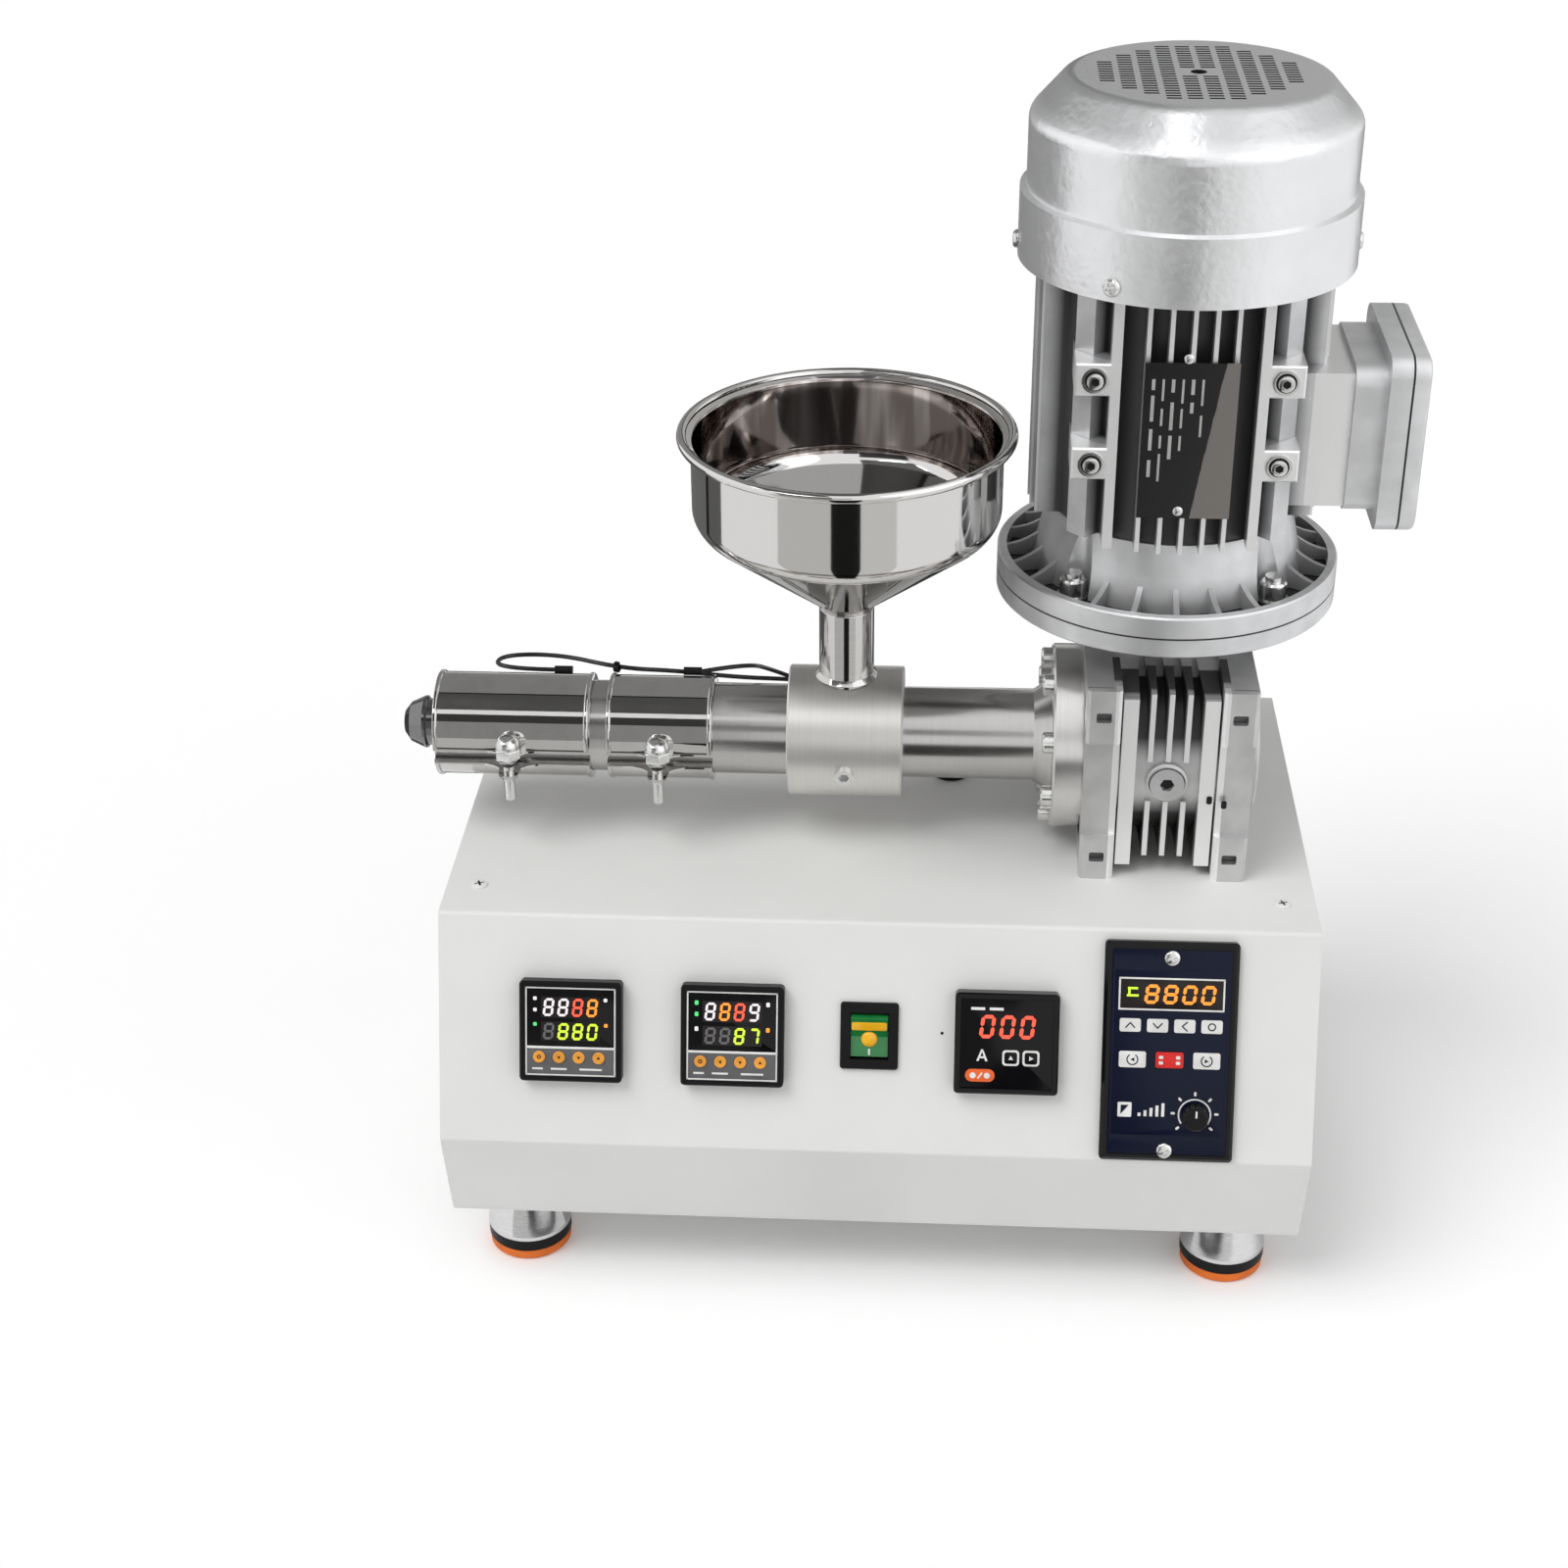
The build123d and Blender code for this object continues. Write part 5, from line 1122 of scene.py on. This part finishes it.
class EXTRUDER_OT_heater_bands(bpy.types.Operator):
    """Bend the two heater bands with their flaps, straps and clamp screws"""
    bl_idname = "extruder.heater_bands"
    bl_label = "Heater bands"

    def execute(self, context):
        for number in (1, 2):
            low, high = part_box(f"heater_band_{number}")
            left, right = low.x / MM - SHIFT.x, high.x / MM - SHIFT.x
            self.band(number, left, right)
            self.clamp(number, (left + right) / 2)
        return {"FINISHED"}

    def band(self, number, left, right):
        """Split sleeve with rolled ends. Its flaps turn outward along the split, into the clamp's straps."""
        outside, inside, lip, flap, thick = 24.8, 22.1, 25.5, 25.6, 0.9
        sheet = Piece(f"band_{number}_sheet", "polished_steel")
        along_x = Matrix(((0, 0, 1, 0), (-1, 0, 0, 0), (0, -1, 0, 0), (0, 0, 0, 1)))
        long = right - left
        outline = [(inside, 0), (lip, 0), (lip, 1.8), (outside, 2.2), (outside, long - 2.2),
                   (lip, long - 1.8), (lip, long), (inside, long)]
        above, below = (degrees((SPLIT_BELOW + side * SPLIT_HALF) / outside) for side in (-1, 1))
        sleeve = turned(outline, [(1, 0.5), (2, 0.4), (5, 0.4), (6, 0.5)], 160, 360.0 - below + above, 3)
        sheet.add(sleeve, at(left, BARREL_Y, BARREL_Z) @ along_x @ turn(below))
        strap = [(13, flap), (8, 26.4), (5.2, 28.8), (4.5, 34.5), (3.0, 37.2)]
        strap += [(-aside, reach) for aside, reach in reversed(strap)]
        for side, edge in ((-1, 24.5), (1, flap)):
            plan = [(0.3, -22.4), (long - 0.3, -22.4), (long - 0.3, -edge)]
            plan += [(long / 2 + aside, -reach if reach > flap else -edge) for aside, reach in strap]
            split = BARREL_Z - SPLIT_BELOW + side * (SPLIT_HALF + thick / 2)
            sheet.add(prism(plan + [(0.3, -edge)], thick), at(left, BARREL_Y, split - thick / 2))
        sheet.done(replaces=[f"heater_band_{number}"])

    def clamp(self, number, x):
        """Domed nut over the upper strap, and the screw's end under the lower one."""
        screw = Piece(f"clamp_{number}_screw", "zinc")
        axis = at(x, 61.0, BARREL_Z - SPLIT_BELOW)
        strap_face = SPLIT_HALF + 0.9
        top, bottom = axis @ at(0, 0, strap_face), axis @ at(0, 0, -strap_face)
        nut = rod(6.5, 5.6, 0, 6)
        soften(nut, [e for e in nut.edges if abs(e.verts[0].co.z - e.verts[1].co.z) < 1], 0.8, 3)
        screw.add(nut, top @ turn(14))
        dome = [(0, 5.0), (5.4, 5.0), (5.9, 6.4), (5.5, 8.6), (3.4, 10.9), (0, 11.1)]
        screw.add(turned(dome, [(1, 0.5), (2, 0.6), (3, 1.5), (4, 1.2)], 48), top)
        screw.add(turned([(0, 0), (2.7, 0), (2.7, -17.6), (2.1, -18.4), (0, -18.4)], (), 40), axis)
        screw.add(turned([(0, 0), (4.4, 0), (4.4, -2.6), (0, -2.6)], [(1, 0.4), (2, 0.6)], 6), bottom)
        screw.done(replaces=[f"clamp_bolt_{number}"])


class EXTRUDER_OT_gearbox(bpy.types.Operator):
    """Fit the oil plug's collar, and dark sheets of painted shade in the recesses of the gearbox"""
    bl_idname = "extruder.gearbox"
    bl_label = "Gearbox"

    def execute(self, context):
        forward = turn(90, "X")
        front = at(MOTOR_X, 50.2, BARREL_Z) @ forward
        collar = turned([(8.5, 0), (9.9, 0), (9.9, 2.2), (8.5, 2.8)], [(2, 0.5)], 48)
        Piece("oil_plug_collar", "cast_aluminium").add(collar, front).done()
        # Painted shade: a dark ring round the plug, a dark hex in its socket, and dark slabs in the holes
        dark = Piece("gearbox_painted_shade", "black_screw")
        dark.add(ring(8.05, 8.45, 1.6, 48), front)
        dark.add(rod(3.3, 0.3, 0, 6), at(MOTOR_X, 48.4, BARREL_Z) @ forward)
        for x, y in ((153.4, 46.9), (159.8, 43.0)):
            dark.add(slab(2.6, 4.2, 0.2, 1.0), at(x, y, 236.0) @ forward)
        dark.done()
        return {"FINISHED"}


class EXTRUDER_OT_cabinet_screws(bpy.types.Operator):
    """Fit painted cross-head screws in the cabinet's top"""
    bl_idname = "extruder.cabinet_screws"
    bl_label = "Cabinet screws"

    def execute(self, context):
        low, high = (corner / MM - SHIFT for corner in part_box("cabinet_screws"))
        heads = Piece("cabinet_screw_heads", "cabinet_paint")
        # Painted shade: dark bars in the cross recesses, and a small dark dot on the panel
        marks = Piece("cabinet_screw_painted_shade", "black_screw")
        radius = 4.0
        for x in (low.x + radius, high.x - radius):
            for y in (low.y + radius, high.y - radius):
                place = at(x, y, CABINET_TOP)
                cross_screw(heads, place, radius, 1.3)
                for angle in (20, 110):
                    marks.add(brick(radius * 1.12, radius * 0.24, 0.3), place @ turn(angle) @ at(0, 0, 0.75))
        marks.add(rod(0.75, 0.1, 0, 16), on_panel(31.7, 51.6))
        heads.done(replaces=["cabinet_screws"])
        marks.done()
        return {"FINISHED"}


class EXTRUDER_OT_motor(bpy.types.Operator):
    """Fit the screws, rivets, plate print and terminal lid of the motor"""
    bl_idname = "extruder.motor"
    bl_label = "Motor"

    def execute(self, context):
        self.pads()
        self.nameplate()
        self.cover()
        self.terminal_lid()
        return {"FINISHED"}

    def pads(self):
        """Cap screws on washers, with dark sheets of painted shade in their sockets and round their heads, on
        the pads at the front and back.
        """
        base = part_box("motor_housing")[0].z / MM
        screws = Piece("motor_pad_screws", "zinc")
        # Painted shade: a dark disc round each head and a dark hex in each socket
        recesses = Piece("motor_pad_painted_shade", "black_screw")
        washer = [(4.6, 0), (6.1, 0), (6.1, 0.9), (4.6, 0.9)]
        radius, height = 3.7, 2.8
        for side in (-1, 1):
            for level in (41.0, 80.5):
                for back in (-1, 1):
                    pad = at(MOTOR_X + side * 41.5, MOTOR_Y + back * 61.0, base + level)
                    place = pad @ towards((0, back, 0))
                    screws.add(turned(washer, [(2, 0.3)], 36), place)
                    screws.add(rod(radius, height, radius * 0.12), place)
                    screws.cut(rod(2.0, height, 0, 6), place @ at(0, 0, height * 0.45))
                    recesses.add(ring(0, 4.7, 0.25, 36), place)
                    recesses.add(rod(2.1, 1.7, 0, 6), place)
        screws.done()
        recesses.done()

    def nameplate(self):
        """Two rivets, and bars in columns for the plate's lines of print."""
        rivets = Piece("plate_rivets", "zinc")
        for x, z in ((131.6, 445.4), (131.1, 373.9)):
            rivets.add(ball(2.4, 0.5), at(x, 65.2, z) @ towards((0, -1, 0)))
        rivets.done()
        plate = middle("motor_nameplate")
        lines = Piece("nameplate_print", "faded_print")
        for column in range(6):
            top = 29.0
            for part in range(4 - column // 2):
                tall = 5.0 + (column * 5 + part * 7) % 9
                spot = at(plate.x - 16.5 + 4.3 * column, 65.19, plate.z + top - tall / 2)
                lines.add(brick(1.0 if column % 2 else 1.5, 0.08, tall), spot)
                top -= tall + 2.6 + (column + part) % 3
        lines.done()

    def cover(self):
        """Screws round the foot of the fan cover."""
        screws = Piece("cover_screws", "zinc")
        for angle in (-119, 61, -179, 1):
            place = at(MOTOR_X, MOTOR_Y, 476.6) @ turn(angle) @ at(75.8, 0, 0) @ towards((1, 0, 0))
            cross_screw(screws, place, 4.2, 2.4)
        screws.done()

    def terminal_lid(self):
        """Lid with a sunk middle and a counterbored screw at each corner."""
        low, high = (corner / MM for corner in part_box("terminal_box_lid"))
        size, thick = high.z - low.z, high.x - low.x
        centre = middle("terminal_box_lid")
        base = at(low.x - SHIFT.x, centre.y, centre.z) @ turn(90, "Y")
        lid, screws = Piece("terminal_lid_casting", "box_paint"), Piece("terminal_lid_screws", "zinc")
        lid.add(slab(size, size, thick, 9.0, 2.2, 6), base)
        lid.cut(slab(size - 16.0, size - 16.0, 2.0, 6.0, 0, 6), base @ at(0, 0, thick - 0.7))
        for x in (-1, 1):
            for y in (-1, 1):
                bore = base @ at(x * 34.2, y * 34.2, thick - 2.2)
                lid.cut(rod(4.6, 4.0), bore)
                cross_screw(screws, bore, 3.9, 2.0)
        lid.done(replaces=["terminal_box_lid"])
        screws.done()


class EXTRUDER_PT_sidebar(bpy.types.Panel):
    """Buttons for the stage and for each group of pieces"""
    bl_idname = "EXTRUDER_PT_sidebar"
    bl_label = "Filament Extruder"
    bl_space_type = "VIEW_3D"
    bl_region_type = "UI"
    bl_category = "Extruder"

    def draw(self, context):
        for operator in OPERATORS:
            self.layout.operator(operator.bl_idname)
        for group in SETTINGS:
            settings = getattr(context.scene, group)
            box = self.layout.box()
            for name in settings.__annotations__:
                box.prop(settings, name)


SETTINGS = {"extruder_stage": StageSettings, "extruder_finishes": FinishSettings,
            "extruder_details": DetailSettings}
OPERATORS = (EXTRUDER_OT_stage, EXTRUDER_OT_heater_leads, EXTRUDER_OT_finishes, EXTRUDER_OT_controllers,
             EXTRUDER_OT_current_meter, EXTRUDER_OT_speed_controller, EXTRUDER_OT_rocker_switch,
             EXTRUDER_OT_hopper, EXTRUDER_OT_heater_bands, EXTRUDER_OT_gearbox,
             EXTRUDER_OT_cabinet_screws, EXTRUDER_OT_motor)


def register():
    for kind in (*SETTINGS.values(), *OPERATORS, EXTRUDER_PT_sidebar):
        bpy.utils.register_class(kind)
    for name, kind in SETTINGS.items():
        setattr(bpy.types.Scene, name, PointerProperty(type=kind))


def unregister():
    for name in SETTINGS:
        delattr(bpy.types.Scene, name)
    for kind in (EXTRUDER_PT_sidebar, *reversed(OPERATORS), *reversed(SETTINGS.values())):
        bpy.utils.unregister_class(kind)


def main():
    register()
    bpy.ops.extruder.stage()
    bpy.ops.extruder.heater_leads()
    bpy.ops.extruder.finishes()
    bpy.ops.extruder.controllers()
    bpy.ops.extruder.current_meter()
    bpy.ops.extruder.speed_controller()
    bpy.ops.extruder.rocker_switch()
    bpy.ops.extruder.hopper()
    bpy.ops.extruder.heater_bands()
    bpy.ops.extruder.gearbox()
    bpy.ops.extruder.cabinet_screws()
    bpy.ops.extruder.motor()


if __name__ == "__main__":
    main()
